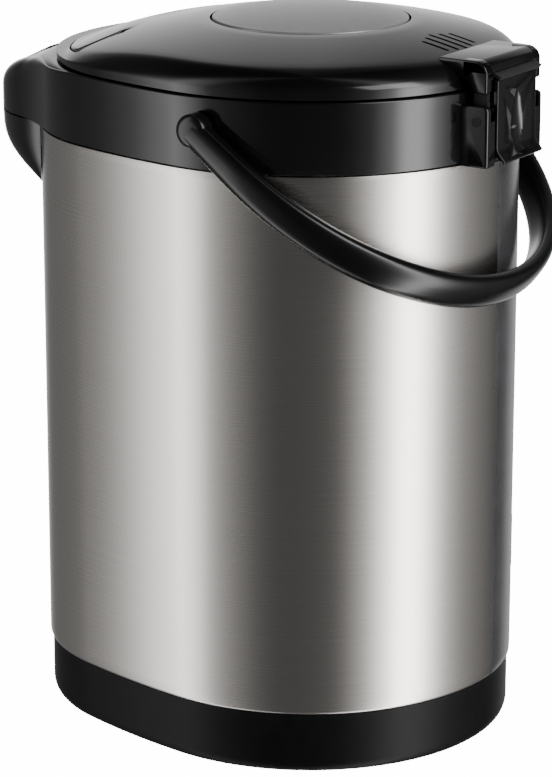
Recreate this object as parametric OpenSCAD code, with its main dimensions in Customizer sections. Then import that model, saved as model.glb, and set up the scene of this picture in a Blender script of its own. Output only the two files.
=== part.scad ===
// Electric thermo pot: an insulated hot-water pot in a brushed steel jacket, with a
// press plate and a small electric pump that both lift water to the spout.
// Z is up from the table, -Y is the front (spout) and +Y the back (lid hinge).
// X = Y = 0 is the centre line of the inner pot and of the press plate.

/* [Body outline] */
// Radius of the round back of the body
rear_r = 97.5; // [96:0.5:99]
// How far the centre of the round back lies behind the pot's centre line
rear_shift = 0; // [-1:0.5:1]
// How far the round back runs on past the widest point, in degrees
side_angle = 8; // [6:1:10]
// Radius of the long, flat sides
side_r = 358; // [345:1:370]
// Distance from the centre line to the front of the body
front_reach = 134; // [132:0.5:136]

/* [Heights] */
// Height of the black base
base_h = 30; // [28:1:34]
// Height of the steel jacket
jacket_h = 252; // [240:1:280]
// Height of the black shoulder between the jacket and the lid
shoulder_h = 33; // [32:0.5:36]
// Rise of the press plate's crown above the shoulder
dome_rise = 27.2; // [26.5:0.1:29]

/* [Walls] */
// Wall of the plastic shells
shell_t = 2.5; // [2:0.1:3]
// Thickness of the steel sheet of the jacket
jacket_t = 0.8; // [0.6:0.1:1]
// Wall of the inner pot
pot_t = 0.8; // [0.6:0.1:1]
// Seam between outer shells
seam = 0.6; // [0.4:0.1:0.8]
// Running gap round a shaft or pin
pin_gap = 0.05; // [0.03:0.01:0.09]
// Gap between pieces that move past one another
move_gap = 0.4; // [0.3:0.05:0.6]

/* [Base] */
// How far the base stands in from the jacket
base_inset = 1.3; // [1:0.1:2]
// Height of the round-off at the bottom of the base
base_round = 15; // [12:1:18]
// Radius of one rubber foot
foot_r = 9; // [7:0.5:10]
// Radius of the flat disc in the middle of the underside
rest_disc_r = 45; // [35:1:48]
// Thickness of the chassis plate
chassis_t = 3; // [2.5:0.1:4]
// Height of the underside of the chassis plate
chassis_z = 24; // [22:0.5:25]

/* [Inner pot] */
// Outer radius of the inner pot
pot_r = 71; // [68:0.5:73]
// Height of the pot's underside
pot_z = 45; // [44:0.5:50]
// Radius of the opening that water is poured through
mouth_r = 66.3; // [65:0.1:67]
// Radius of the heater plate
heater_r = 58; // [50:1:60]
// Thickness of the heater plate
heater_t = 5; // [4:0.5:7]

/* [Press plate] */
// Radius of the press plate
plate_r = 45.5; // [42:0.5:47]
// Radius of curvature of the press plate's crown
plate_curve = 175; // [160:5:220]
// Travel of the press plate
plate_travel = 10; // [8:0.5:11]
// Radius of the bellows
bellows_r = 30; // [26:0.5:34]

/* [Lid] */
// Distance from the centre line to the front of the lid
lid_reach = 125; // [124:0.5:127]
// How far the lid's rim stands in from the shoulder
lid_inset = 1.2; // [1:0.1:2]
// Width of the round-off of the lid's rim
lid_round = 6.5; // [5:0.5:8]
// Height of the upright wall at the bottom of the lid's rim
lid_wall = 3.2; // [3:0.1:4.5]
// Radius of curvature of the lid's top round the plate
lid_curve = 340; // [300:10:400]
// Distance of the latch flap's rear edge from the centre line
latch_rear = 76; // [74:0.5:78]
// Width of one steam slot
vent_w = 2.2; // [1.8:0.1:2.6]
// Distance from one steam slot to the next
vent_pitch = 6; // [5:0.2:6.5]
// Distance of the steam slots' middle from the centre line
vent_y = 73; // [71:0.5:73.5]

/* [Hinge] */
// Distance of the lid's hinge axis behind the centre line
hinge_y = 101.4; // [101.2:0.1:102]
// Depth of the lid's hinge axis below the top of the shoulder
hinge_drop = 9; // [8.8:0.1:9.5]
// Radius of the lid's hinge pin
hinge_pin_r = 2.2; // [1.8:0.1:2.3]
// Half of the width of the hinge bracket
bracket_w = 25.6; // [25:0.1:27]
// Half of the width of the release lever
lever_w = 18; // [17:0.1:18.5]

/* [Spout] */
// Radius of the beak's nose
beak_r = 36; // [34:0.5:38]
// Distance of the nose's centre from the centre line
beak_y = 134; // [133:0.5:135]
// Distance of the spout nozzle from the centre line
nozzle_y = 143; // [143:0.5:145]
// Outer radius of the water tubes
tube_r = 6; // [5:0.5:6.5]
// Bore radius of the water tubes
tube_bore = 4; // [3:0.5:4.5]
// Radius of the bends in the water tubes
bend_r = 10; // [9:0.5:12]

/* [Handle] */
// Distance of the handle's pivots behind the centre line
pivot_y = 4; // [2:0.5:6]
// Depth of the handle's pivots below the top of the shoulder
pivot_drop = 14; // [13.5:0.5:16]
// Distance from the pivots to the handle's middle line at the back
handle_reach = 129; // [128.5:0.5:134]
// Distance from the centre line to the handle's inner face
handle_in = 99.5; // [99:0.1:101]
// Thickness of the handle
handle_t = 8.8; // [8:0.1:10]
// Depth of the handle at its middle
handle_h = 17.5; // [15:0.5:19]
// Depth of the handle's arms at their pivots
handle_arm_h = 13; // [12:0.5:16]
// How far the handle hangs below level, in degrees
handle_tilt = 37; // [33:0.5:38]
// Radius of the handle's pivot screws
pivot_r = 4; // [3:0.5:5]

/* [Hidden] */

$fn = 48;
eps = 0.01;
steps = 12;                                   // points in each short arc of an outline
sheet_gap = 0.2;                              // gap beside a piece that is let into another

jacket_z = base_h;
shoulder_z = jacket_z + jacket_h;
top_z = shoulder_z + shoulder_h;              // top of the shoulder, underside of the lid
lid_z = top_z + seam / 2;
crown_z = top_z + dome_rise;
plate_edge_z = crown_z - plate_r * plate_r / (2 * plate_curve);
well_r = plate_r + 1;
hinge_z = top_z - hinge_drop;
pivot_z = top_z - pivot_drop;

// Centres of the side and front arcs, so that each arc runs smoothly into the next
side_x = (side_r - rear_r) * cos(side_angle);
side_y = rear_shift + (side_r - rear_r) * sin(side_angle);
// Radius of the front arc of an outline that reaches so far forward
function front_r(reach) = let (d = side_y + reach)
    (side_r * side_r - side_x * side_x - d * d) / (2 * (side_r - d));
rear_y = rear_shift + rear_r;                 // the rearmost point of the body

// Points along an arc, both ends included
function arc(cx, cy, r, a0, a1, n) = [for (i = [0:n]) let (a = a0 + (a1 - a0) * i / n)
    [cx + r * cos(a), cy + r * sin(a)]];
// The same without its first point, for an arc that follows another
function arc_on(cx, cy, r, a0, a1, n) = [for (i = [1:n]) arc(cx, cy, r, a0, a1, n)[i]];

// Egg-shaped plan outline, moved outward by off: round back, flat sides, narrower front
function outline(off, reach) = let (fr = front_r(reach), fy = fr - reach, fa = atan2(side_y - fy, side_x)) concat(
    arc(0, rear_shift, rear_r + off, -side_angle, 180 + side_angle, 3 * steps),
    arc_on(side_x, side_y, side_r + off, 180 + side_angle, 180 + fa, steps),
    arc_on(0, fy, fr + off, 180 + fa, 360 - fa, 2 * steps),
    [for (i = [1:steps - 1]) arc(-side_x, side_y, side_r + off, -fa, -side_angle, steps)[i]]);
function egg(off) = outline(off, front_reach);
function lid_egg(off) = outline(off, lid_reach);

// Plan outline of the beak, moved outward by off: a round nose that widens into the body
beak_root = [43, -117];
beak_dist = norm(beak_root - [0, -beak_y]);
beak_angle = atan2(beak_root[1] + beak_y, beak_root[0]) - acos(beak_r / beak_dist);
function beak(off) = concat(
    [[beak_root[0] + off, -60], [beak_root[0] + off, beak_root[1]]],
    arc(0, -beak_y, beak_r + off, beak_angle, -180 - beak_angle, 2 * steps),
    [[-beak_root[0] - off, beak_root[1]], [-beak_root[0] - off, -60]]);

module prism(points, z0, z1) { translate([0, 0, z0]) linear_extrude(z1 - z0) polygon(points); }

// Solid between rings of points that all have as many points, bottom ring first
module loft(rings) {
    n = len(rings[0]);
    m = len(rings);
    polyhedron(
        points = [for (r = rings) for (p = r) p],
        faces = concat(
            [[for (i = [0:n - 1]) i]],
            [for (k = [0:m - 2]) for (i = [0:n - 1]) [k * n + i, (k + 1) * n + i, (k + 1) * n + (i + 1) % n]],
            [for (k = [0:m - 2]) for (i = [0:n - 1]) [k * n + i, (k + 1) * n + (i + 1) % n, k * n + (i + 1) % n]],
            [[for (i = [n - 1:-1:0]) (m - 1) * n + i]]));
}
// The same, but the last ring joins the first, which leaves the inside hollow
module ring_wall(rings) {
    n = len(rings[0]);
    m = len(rings);
    polyhedron(
        points = [for (r = rings) for (p = r) p],
        faces = [for (k = [0:m - 1]) for (i = [0:n - 1]) for (f = [[0, n, n + 1], [0, n + 1, 1]])
            [for (q = f) (k + floor(q / n)) % m * n + (i + q % n) % n]]);
}
function backwards(list) = [for (i = [len(list) - 1:-1:0]) list[i]];
function at_z(points, z) = [for (p = points) [p[0], p[1], z]];

// Tube along +X from the origin, and a quarter bend that starts along +X and turns to +Z
module tube(length, ro, ri) {
    rotate([0, 90, 0]) difference() {
        cylinder(r = ro, h = length);
        translate([0, 0, -1]) cylinder(r = ri, h = length + 2);
    }
}
module bend_up(ro, ri) {
    translate([0, 0, bend_r]) rotate([90, 0, 0]) rotate([0, 0, -90]) rotate_extrude(angle = 90)
        translate([bend_r, 0]) difference() { circle(r = ro); circle(r = ri); }
}
// Spring of round wire round the Z axis, from z = 0 up to height, that touches both ends
coil_steps = 10;
module coil(r, wire, turns, height) {
    n = coil_steps * turns;
    loft([for (i = [0:n]) let (a = 360 * i / coil_steps) [for (j = [5:-1:0])
        let (q = r - wire + wire * cos(60 * j)) [q * cos(a), q * sin(a), wire + (height - 2 * wire) * i / n + wire * sin(60 * j)]]]);
}
module across(y, z, r, half) { translate([-half, y, z]) rotate([0, 90, 0]) cylinder(r = r, h = 2 * half); }
module both_sides() { children(); mirror([1, 0, 0]) children(); }

// ---------------------------------------------------------------- base

// Round-off of the base: how far in each ring stands, and its height
function base_rings(extra, z0) = [for (i = [0:5]) let (a = 90 * i / 5)
    at_z(egg(-base_inset - extra - 12 * (1 - sin(a))), z0 + base_round * (1 - cos(a)))];
cover_outline = egg(-base_inset - 16);
foot_spots = [[50, 38], [-50, 38], [26, -84], [-26, -84]];
screw_spots = [[58, 0], [-58, 0], [0, 62], [0, -108]];
cover_z = 2;
cover_t = 3;

module base_shell() {
    lip = egg(-base_inset - 15.8);
    color("#1e1e20") ring_wall(concat(
        [at_z(lip, cover_z)], base_rings(0, cover_z), [at_z(egg(-base_inset), base_h - seam / 2)],
        [at_z(egg(-base_inset - shell_t), base_h - seam / 2)], backwards(base_rings(shell_t, cover_z + shell_t)),
        [at_z(lip, cover_z + shell_t)]));
}

module bottom_cover() {
    color("#19191b") difference() {
        union() {
            prism(cover_outline, cover_z, cover_z + cover_t);
            cylinder(r = rest_disc_r, h = cover_z + cover_t, $fn = 72);
        }
        for (p = screw_spots) translate([p[0], p[1], -1]) cylinder(r = 1.8, h = cover_z + cover_t + 2);
        for (p = screw_spots) translate([p[0], p[1], -1]) cylinder(r = 3.6, h = cover_z + 2.2);
        for (p = foot_spots) translate([p[0], p[1], -1]) cylinder(r = foot_r + 0.1, h = cover_z + 2);
    }
}

module rubber_feet() {
    color("#2b2b2b") for (p = foot_spots) translate([p[0], p[1], 0]) cylinder(r = foot_r, h = cover_z + 1);
}

module cover_screws() {
    color("#a8a8aa") for (p = screw_spots) translate([p[0], p[1], 0]) difference() {
        union() {
            translate([0, 0, 1.2]) cylinder(r = 3.4, h = 2);
            translate([0, 0, 3]) cylinder(r = 1.5, h = 14);
        }
        translate([-2, -0.4, 0.5]) cube([4, 0.8, 1.6]);
        translate([-0.4, -2, 0.5]) cube([0.8, 4, 1.6]);
    }
}

rim_r = pot_r - 3;                            // ring that the pot's bottom edge stands on
pump_y = -104;                                // centre of the pump, in front of the pot
chassis_top = chassis_z + chassis_t;
hose_z = chassis_top + 7.5;
drain_y = -46;

module chassis() {
    color("#d8d4c8") difference() {
        union() {
            prism(egg(-base_inset - shell_t - sheet_gap), chassis_z, chassis_top);
            difference() {
                translate([0, 0, chassis_top - eps]) cylinder(r = rim_r, h = pot_z - chassis_top + eps, $fn = 96);
                translate([0, 0, chassis_top - 1]) cylinder(r = rim_r - 3, h = pot_z, $fn = 96);
                translate([-tube_r - 1, -rim_r - 2, chassis_top]) cube([2 * tube_r + 2, 10, pot_z]);
            }
            for (p = screw_spots) translate([p[0], p[1], cover_z + cover_t]) cylinder(r = 4.5, h = chassis_z - cover_z - cover_t + 1);
        }
        for (p = screw_spots) translate([p[0], p[1], 0]) cylinder(r = 1.5, h = chassis_z);
        translate([0, 0, chassis_z - 1]) cylinder(r = 34, h = chassis_t + 2);
    }
}

module power_board() {
    color("#2f6b3c") difference() {
        translate([-38, -28, 14]) cube([76, 56, 1.6]);
        for (x = [-33, 33]) for (y = [-23, 23]) translate([x, y, 13]) cylinder(r = 1.6, h = 4);
    }
    color("#2d3d8a") translate([-20, -16, 15.6]) cylinder(r = 6, h = 7);
    color("#303030") translate([2, -12, 15.6]) cube([16, 20, 7]);
}

module board_posts() {
    color("#d8d4c8") for (x = [-33, 33]) for (y = [-23, 23]) translate([x, y, 0]) {
        translate([0, 0, cover_z + cover_t]) cylinder(r = 3, h = 14 - cover_z - cover_t);
        translate([0, 0, 13.5]) cylinder(r = 1.5, h = 3);
    }
}

// ---------------------------------------------------------------- jacket

strip_a0 = 93;                                // the strip's edges, in degrees from +X round the rear arc
strip_a1 = 160;
inlet_z = 75;
inlet_a = 145;
window_w = 26;                                // opening for the level window, and its foot and height
window_z = jacket_z + 50;
window_h = 150;
function wedge(off, a0, a1, gap) = concat(
    arc(0, rear_shift, rear_r + off, a0 + gap, a1 - gap, 16),
    arc(0, rear_shift, rear_r - 8, a1 - gap, a0 + gap, 16));
module at_inlet() { translate([0, rear_shift, inlet_z]) rotate([0, 0, inlet_a]) translate([rear_r, 0, 0]) children(); }

module steel_jacket() {
    color("#b9b5b0") difference() {
        prism(egg(0), jacket_z, shoulder_z - seam / 2);
        prism(egg(-jacket_t), jacket_z - 1, shoulder_z + 1);
        prism(wedge(5, strip_a0, strip_a1, 0), jacket_z - 1, shoulder_z + 1);
        translate([-window_w / 2, -front_reach - 5, window_z]) cube([window_w, 20, window_h]);
    }
}

module rear_strip() {
    color("#56565a") difference() {
        intersection() {
            difference() {
                prism(egg(0), jacket_z, shoulder_z - seam / 2);
                prism(egg(-jacket_t), jacket_z - 1, shoulder_z + 1);
            }
            prism(wedge(5, strip_a0, strip_a1, 0.15), jacket_z - 1, shoulder_z + 1);
        }
        at_inlet() translate([-12, -17.2, -13.2]) cube([24, 34.4, 26.4]);
    }
}

module power_inlet() {
    color("#151517") at_inlet() difference() {
        union() {
            translate([-14, -17, -13]) cube([14.5, 34, 26]);
            translate([0.05, -20, -16]) cube([2, 40, 32]);
        }
        translate([-11, -13, -9]) cube([20, 26, 18]);
    }
}

module inlet_pins() {
    color("#c8a860") at_inlet() for (y = [-7, 7]) translate([-11, y, 0]) rotate([0, 90, 0]) cylinder(r = 2, h = 10);
}

module level_window() {
    color("#cfe3ea") intersection() {
        translate([sheet_gap - window_w / 2, -front_reach - 1, window_z + sheet_gap])
            cube([window_w - 2 * sheet_gap, 10, window_h - 2 * sheet_gap]);
        difference() {
            prism(egg(0.8), jacket_z, shoulder_z);
            prism(egg(-2 * jacket_t), jacket_z - 1, shoulder_z + 1);
        }
    }
}

// ---------------------------------------------------------------- pot and heater

pot_top = top_z - 12;
module inner_pot() {
    color("#c4c6c8") difference() {
        union() {
            translate([0, 0, pot_z]) cylinder(r = pot_r, h = pot_top - pot_z, $fn = 96);
            translate([0, 0, pot_top - 1]) cylinder(r = pot_r + 5, h = 1, $fn = 96);
            translate([0, drain_y, hose_z + bend_r]) cylinder(r = tube_r, h = pot_z - hose_z - bend_r + eps);
        }
        translate([0, 0, pot_z + pot_t]) cylinder(r = pot_r - pot_t, h = pot_top, $fn = 96);
        translate([0, drain_y, pot_z - heater_t]) cylinder(r = tube_bore, h = heater_t + 4);
    }
}

module insulation() {
    color("#e8e6df") translate([0, 0, pot_z + 8]) difference() {
        cylinder(r = pot_r + 5, h = pot_top - pot_z - 16, $fn = 72);
        translate([0, 0, -1]) cylinder(r = pot_r + sheet_gap, h = pot_top, $fn = 72);
    }
}

module heater_plate() {
    color("#8c8c8e") translate([0, 0, pot_z - heater_t]) difference() {
        union() {
            cylinder(r = heater_r, h = heater_t, $fn = 72);
            translate([0, 0, -3]) rotate_extrude($fn = 72) translate([heater_r - 18, 1]) circle(r = 3.2);
            for (x = [-12, 12]) translate([x, heater_r - 8, -3]) cube([6, 1.2, 7], center = true);
        }
        for (y = [drain_y, drain_y - 5.5]) translate([0, y, -7]) cylinder(r = tube_r + move_gap, h = 20);
    }
}

module thermostat() {
    color("#f0ede4") translate([0, 0, pot_z - heater_t - 9]) cylinder(r = 9, h = 9);
    color("#c8a860") for (x = [-5, 5]) translate([x - 1.5, -0.5, pot_z - heater_t - 14]) cube([3, 1, 5.5]);
}

module thermal_fuse() {
    color("#d8d0b8") translate([18, -8, pot_z - heater_t - 3]) rotate([0, 90, 90]) cylinder(r = 3, h = 16);
}

// ---------------------------------------------------------------- water path

pump_r = 17;
riser_x = pump_r + 4 + bend_r;
riser_top = top_z - 36;
elbow_dir = atan2(pump_y + nozzle_y, riser_x);       // plan direction from nozzle to riser
elbow_run = norm([riser_x, pump_y + nozzle_y]) - 2 * bend_r;
elbow_z = riser_top + bend_r;

module pump_housing() {
    color("#e9e5da") difference() {
        union() {
            translate([0, pump_y, chassis_top]) cylinder(r = pump_r, h = 16);
            translate([0, pump_y, hose_z]) rotate([0, 0, 90]) tube(pump_r + 4, tube_r, 1);
            translate([0, pump_y, hose_z]) tube(pump_r + 4, tube_r, 1);
        }
        translate([0, pump_y, chassis_top + 3]) cylinder(r = pump_r - 3, h = 9);
        translate([0, pump_y, hose_z]) rotate([0, 0, 90]) rotate([0, 90, 0]) cylinder(r = tube_bore, h = 40);
        translate([0, pump_y, hose_z]) rotate([0, 90, 0]) cylinder(r = tube_bore, h = 40);
        translate([0, pump_y, chassis_top + 5]) cylinder(r = 1.5 + pin_gap, h = 20);
    }
}

module pump_impeller() {
    color("#d9d9dc") translate([0, pump_y, chassis_top + 4]) {
        cylinder(r = pump_r - 5, h = 1.5);
        cylinder(r = 4, h = 6);
        for (i = [0:5]) rotate([0, 0, i * 60]) translate([3, -0.6, 1]) cube([pump_r - 9, 1.2, 4.5]);
        translate([0, 0, 5]) cylinder(r = 1.5, h = 12);
    }
}

module pump_motor() {
    color("#9b9c9e") translate([0, pump_y, chassis_top + 16]) difference() {
        union() { cylinder(r = 14, h = 30); translate([0, 0, 30]) cylinder(r = 5, h = 3); }
        translate([0, 0, -1]) cylinder(r = 1.5 + pin_gap, h = 8);
    }
}

hose_run = pump_y + pump_r + 4;               // where the drain hose meets the pump
module drain_hose() {
    color("#e4e2da") {
        translate([0, drain_y - bend_r, hose_z]) rotate([0, 0, -90])
            tube(drain_y - bend_r - hose_run, tube_r, tube_bore);
        translate([0, drain_y - bend_r, hose_z]) rotate([0, 0, 90]) bend_up(tube_r, tube_bore);
    }
}

module riser_tube() {
    color("#e4e2da") translate([pump_r + 4, pump_y, hose_z]) {
        bend_up(tube_r, tube_bore);
        translate([bend_r, 0, bend_r]) rotate([0, -90, 0]) tube(riser_top - hose_z - bend_r, tube_r, tube_bore);
    }
}

module outlet_elbow() {
    color("#e4e2da") translate([0, -nozzle_y, elbow_z]) rotate([0, 0, elbow_dir]) {
        translate([bend_r, 0, 0]) tube(elbow_run, tube_r, tube_bore);
        translate([bend_r, 0, 0]) mirror([1, 0, 0]) mirror([0, 0, 1]) bend_up(tube_r, tube_bore);
        translate([bend_r + elbow_run, 0, 0]) mirror([0, 0, 1]) bend_up(tube_r, tube_bore);
    }
}

nozzle_tip = shoulder_z - 17;
module spout_nozzle() {
    color("#1c1c1e") translate([0, -nozzle_y, 0]) difference() {
        union() {
            translate([0, 0, nozzle_tip]) cylinder(r = 7, h = elbow_z - bend_r - nozzle_tip);
            translate([0, 0, elbow_z - bend_r - 6]) cylinder(r = 8.5, h = 6);
        }
        translate([0, 0, nozzle_tip - 1]) cylinder(r = tube_bore, h = 80);
    }
}

gauge_r = 4;
gauge_y = -front_reach + 2 * jacket_t + gauge_r + 0.3;
module gauge_tube() {
    color("#dfeef2") translate([0, gauge_y, window_z - 4]) difference() {
        cylinder(r = gauge_r, h = window_h + 8);
        translate([0, 0, 2]) cylinder(r = gauge_r - 1.2, h = window_h + 4);
    }
}

// ---------------------------------------------------------------- shoulder

panel_slope = 24.2;
panel_w = 29;                                 // width of the control panel and of its pocket's opening
panel_z = top_z - 8.9;
module at_panel() { translate([0, -145.5, panel_z]) rotate([panel_slope, 0, 0]) children(); }
function beak_side(off) = [[-90, top_z + off], [-124, top_z + off], [-131, top_z - 2.7 + off], [-142, top_z - 7 + off],
    [-152, top_z - 11.5 + off], [-160, top_z - 16.5 + off], [-166, top_z - 20.8 + off], [-170 - off, top_z - 24],
    [-170 - off, shoulder_z - 5], [-90, shoulder_z - 5]];
// Solid whose side view is the outline given as [y, z] points
module side_view(points, half) { translate([-half, 0, 0]) rotate([90, 0, 90]) linear_extrude(2 * half) polygon(points); }
// Arched top of the beak, which slopes down to the nose
beak_slope = 22.7;
beak_arch = [[-60, -80], [-60, -26], [-43, -14.8], [-38, -11], [-32, -7.4], [-24, -3.4], [-14, 0],
    [14, 0], [24, -3.4], [32, -7.4], [38, -11], [43, -14.8], [60, -26], [60, -80]];
module arch(off) {
    translate([0, -131, top_z - 2.7 + off]) rotate([90 + beak_slope, 0, 0])
        linear_extrude(160, center = true) polygon(beak_arch);
}
button_x = [-9.5, 0, 9.5];
lamp_x = [-4.75, 4.75];
button_hole_r = 3.6;

module shoulder_ring() {
    color("#17171a") difference() {
        union() {
            prism(egg(0), shoulder_z + seam / 2, top_z - seam / 2);
            intersection() {
                prism(beak(0), shoulder_z + seam / 2, top_z + 2);
                side_view(beak_side(0), 60);
                arch(0);
            }
        }
        prism(egg(-shell_t), shoulder_z - 1, top_z - shell_t - seam / 2);
        intersection() {
            prism(beak(-shell_t), shoulder_z - 1, top_z - shell_t - seam / 2);
            side_view(beak_side(-shell_t), 60);
            arch(-shell_t);
        }
        translate([0, 0, top_z - 10]) cylinder(r = pot_r + 9.2, h = 20, $fn = 96);
        translate([-6, hook_y - 5, top_z - 6]) cube([12, 9.5, 12]);
        at_panel() translate([-panel_w / 2, -9.2, -1.2]) cube([panel_w, 18.4, 10]);
        for (x = button_x) at_panel() translate([x, 0, -8]) cylinder(r = button_hole_r, h = 12);
        for (x = lamp_x) at_panel() translate([x, 6, -8]) cylinder(r = 1.3, h = 12);
        both_sides() translate([rear_r - 14, pivot_y, pivot_z]) rotate([0, 90, 0]) cylinder(r = pivot_r + pin_gap, h = 30);
        for (x = bracket_screw_x) translate([x, rear_y - 17, bracket_screw_z]) rotate([-90, 0, 0]) cylinder(r = 1.6, h = 30);
    }
}

function cover_side(off) = [[-112, shoulder_z - seam / 2], [-170 + off, shoulder_z - seam / 2],
    [-169.4 + off, shoulder_z - 5], [-166.8 + off, shoulder_z - 8 + off * 0.2], [-160 + off * 0.8, shoulder_z - 12 + off * 0.6],
    [-152 + off * 0.6, shoulder_z - 16 + off * 0.8], [-139.8 + off * 0.5, shoulder_z - 23 + off * 0.85],
    [-132.5 + off * 0.5, shoulder_z - 28 + off * 0.85], [-128, shoulder_z - 31 + off], [-112, shoulder_z - 31 + off]];
module spout_cover() {
    inner_r = beak_r - shell_t;
    color("#1a1a1c") difference() {
        intersection() {
            prism(concat(arc(0, -beak_y, beak_r, 0, -180, 24), [[1 - beak_r, -110], [beak_r - 1, -110]]),
                shoulder_z - 40, shoulder_z);
            side_view(cover_side(0), 60);
        }
        intersection() {
            prism(concat(arc(0, -beak_y, inner_r, 0, -180, 24), [[1 - inner_r, -100], [inner_r - 1, -100]]),
                shoulder_z - 40, shoulder_z + 1);
            side_view(concat([[-105, shoulder_z + 1], [-170 + shell_t, shoulder_z + 1]],
                [for (i = [2:7]) cover_side(shell_t)[i]], [[-105, shoulder_z - 28.5]]), 60);
        }
        prism(egg(0.5), shoulder_z - 50, shoulder_z + 5);
        translate([0, -nozzle_y, nozzle_tip - 5]) cylinder(r = 7.5, h = 20);
    }
}

module control_panel() {
    color("#2a2a2e") at_panel() difference() {
        translate([sheet_gap - panel_w / 2, -9, -1.1]) cube([panel_w - 2 * sheet_gap, 18, 1.2]);
        for (x = button_x) translate([x, 0, -3]) cylinder(r = button_hole_r, h = 6);
        for (x = lamp_x) translate([x, 6, -3]) cylinder(r = 1.3, h = 6);
    }
}

module lamp_lenses() {
    color("#d04030") at_panel() for (x = lamp_x) translate([x, 6, -6]) cylinder(r = 1.2, h = 6.2);
}

module panel_board() {
    color("#2f6b3c") at_panel() {
        translate([-16, -8.5, -7.4]) cube([32, 17, 1.4]);
        for (x = button_x) translate([x, 0, -6.1]) cylinder(r = 2.4, h = 1.1);
        for (x = [-14.5, 14.5]) translate([x, 0, -6.1]) cylinder(r = 1.2, h = 3);
    }
}

module panel_button(x, shade) {
    color(shade) at_panel() translate([x, 0, 0]) {
        translate([0, 0, -2.6]) cylinder(r = button_hole_r - 0.3, h = 3);
        translate([0, 0, -3.4]) cylinder(r = 1.6, h = 2);
    }
}
module dispense_button() { panel_button(button_x[0], "#c9ccd0"); }
module reboil_button() { panel_button(button_x[1], "#c07030"); }
module lock_button() { panel_button(button_x[2], "#9098a0"); }

collar_z = pot_top + 3;
module pot_seal() {
    color("#e8e8ea") translate([0, 0, pot_top]) difference() {
        cylinder(r = pot_r + 5, h = 3, $fn = 96);
        translate([0, 0, -1]) cylinder(r = pot_r - 0.8, h = 5, $fn = 96);
    }
}

module pot_collar() {
    color("#1b1b1d") rotate_extrude($fn = 96) polygon([
        [pot_r - 0.8, collar_z], [pot_r + 9, collar_z], [pot_r + 9, top_z - seam / 2],
        [mouth_r + 3, top_z - seam / 2], [mouth_r, top_z - 5], [mouth_r, collar_z]]);
}

module tie_rods() {
    color("#a8a8aa") both_sides() translate([pot_r + 8, 8, chassis_top]) {
        cylinder(r = 2, h = collar_z - chassis_top);
        for (z = [0, collar_z - chassis_top - 3]) translate([0, 0, z]) cylinder(r = 2.9, h = 3);
    }
}

// ---------------------------------------------------------------- hinge and release lever

bracket_back = hinge_y + 6.2;
bracket_top = hinge_z + 3;
bracket_foot = shoulder_z - 1;
slot_in = lever_w + 0.3;
slot_out = bracket_w - 3.2;
release_y = bracket_back - 2;
release_z = hinge_z - 10;
slot_front = hinge_y - 2.6;
bracket_screw_x = [-14, 14];
bracket_screw_z = bracket_foot + 8;

module hinge_bracket() {
    color("#1d1d1f") difference() {
        translate([-bracket_w, 70, bracket_foot]) cube([2 * bracket_w, bracket_back - 70, bracket_top - bracket_foot]);
        prism(egg(0.1), bracket_foot - 5, bracket_top + 5);
        translate([-slot_in, slot_front, bracket_foot + 3]) cube([2 * slot_in, 20, 40]);
        translate([-slot_in, bracket_back - 4.6, bracket_foot - 1]) cube([2 * slot_in, 20, 40]);
        translate([-slot_out, hinge_y - 4, hinge_z - 4]) cube([2 * slot_out, 20, 20]);
        across(hinge_y, hinge_z, hinge_pin_r + pin_gap, bracket_w - 0.8);
        across(release_y, release_z, 1.5 + pin_gap, bracket_w - 0.8);
        for (x = bracket_screw_x) translate([x, 70, bracket_screw_z]) rotate([-90, 0, 0]) cylinder(r = 1.6, h = 30);
    }
}

module bracket_screws() {
    color("#8c8c8e") {
        for (x = bracket_screw_x) translate([x, rear_y - 7, bracket_screw_z]) rotate([-90, 0, 0]) {
            cylinder(r = 1.5, h = slot_front - rear_y + 7);
            translate([0, 0, slot_front - rear_y + 7]) cylinder(r = 3, h = 1.6);
        }
        translate([bracket_w, bracket_back - 5.6, hinge_z - 4]) rotate([0, 90, 0]) cylinder(r = 2.2, h = 0.5);
    }
}

module hinge_pin() { color("#b0b0b2") across(hinge_y, hinge_z, hinge_pin_r, bracket_w - 1); }
module release_pin() { color("#b0b0b2") across(release_y, release_z, 1.5, bracket_w - 1); }

lever_back = bracket_back + 0.9;
lever_top = hinge_z + 14.5;
module release_lever() {
    color("#262629") difference() {
        side_view([[lever_back - 4, bracket_foot + 5], [lever_back - 4, release_z + 2.5], [lever_back - 2.8, release_z + 5],
            [lever_back - 2.8, lever_top], [lever_back, lever_top], [lever_back, bracket_foot + 7],
            [lever_back + 4.3, bracket_foot + 2.2], [lever_back + 3.3, bracket_foot + 1.4],
            [lever_back - 1.6, bracket_foot + 4.6]], lever_w);
        side_view([[lever_back - 1.8, bracket_foot + 8], [lever_back + 1, bracket_foot + 5],
            [lever_back + 1, hinge_z + 2], [lever_back, hinge_z + 2]], 8);
        across(release_y, release_z, 1.5 + pin_gap, bracket_w);
    }
}

module release_spring() {
    color("#b8b8ba") translate([0, slot_front, bracket_screw_z]) rotate([-90, 0, 0])
        coil(3, 0.4, 4, lever_back - 4 - slot_front);
}

// ---------------------------------------------------------------- handle

module at_pivot() { translate([0, pivot_y, pivot_z]) rotate([-handle_tilt, 0, 0]) children(); }
handle_mid = handle_in + handle_t / 2;
handle_arm = handle_reach - handle_mid;
function band(h) = [[-handle_t / 2, -h / 2 + 2], [-handle_t / 2 + 1.5, -h / 2], [handle_t / 2 - 2, -h / 2 + 1],
    [handle_t / 2, -h / 2 + 4], [handle_t / 2, h / 2 - 4], [handle_t / 2 - 2, h / 2 - 1],
    [-handle_t / 2 + 1.5, h / 2], [-handle_t / 2, h / 2 - 2]];

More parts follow.
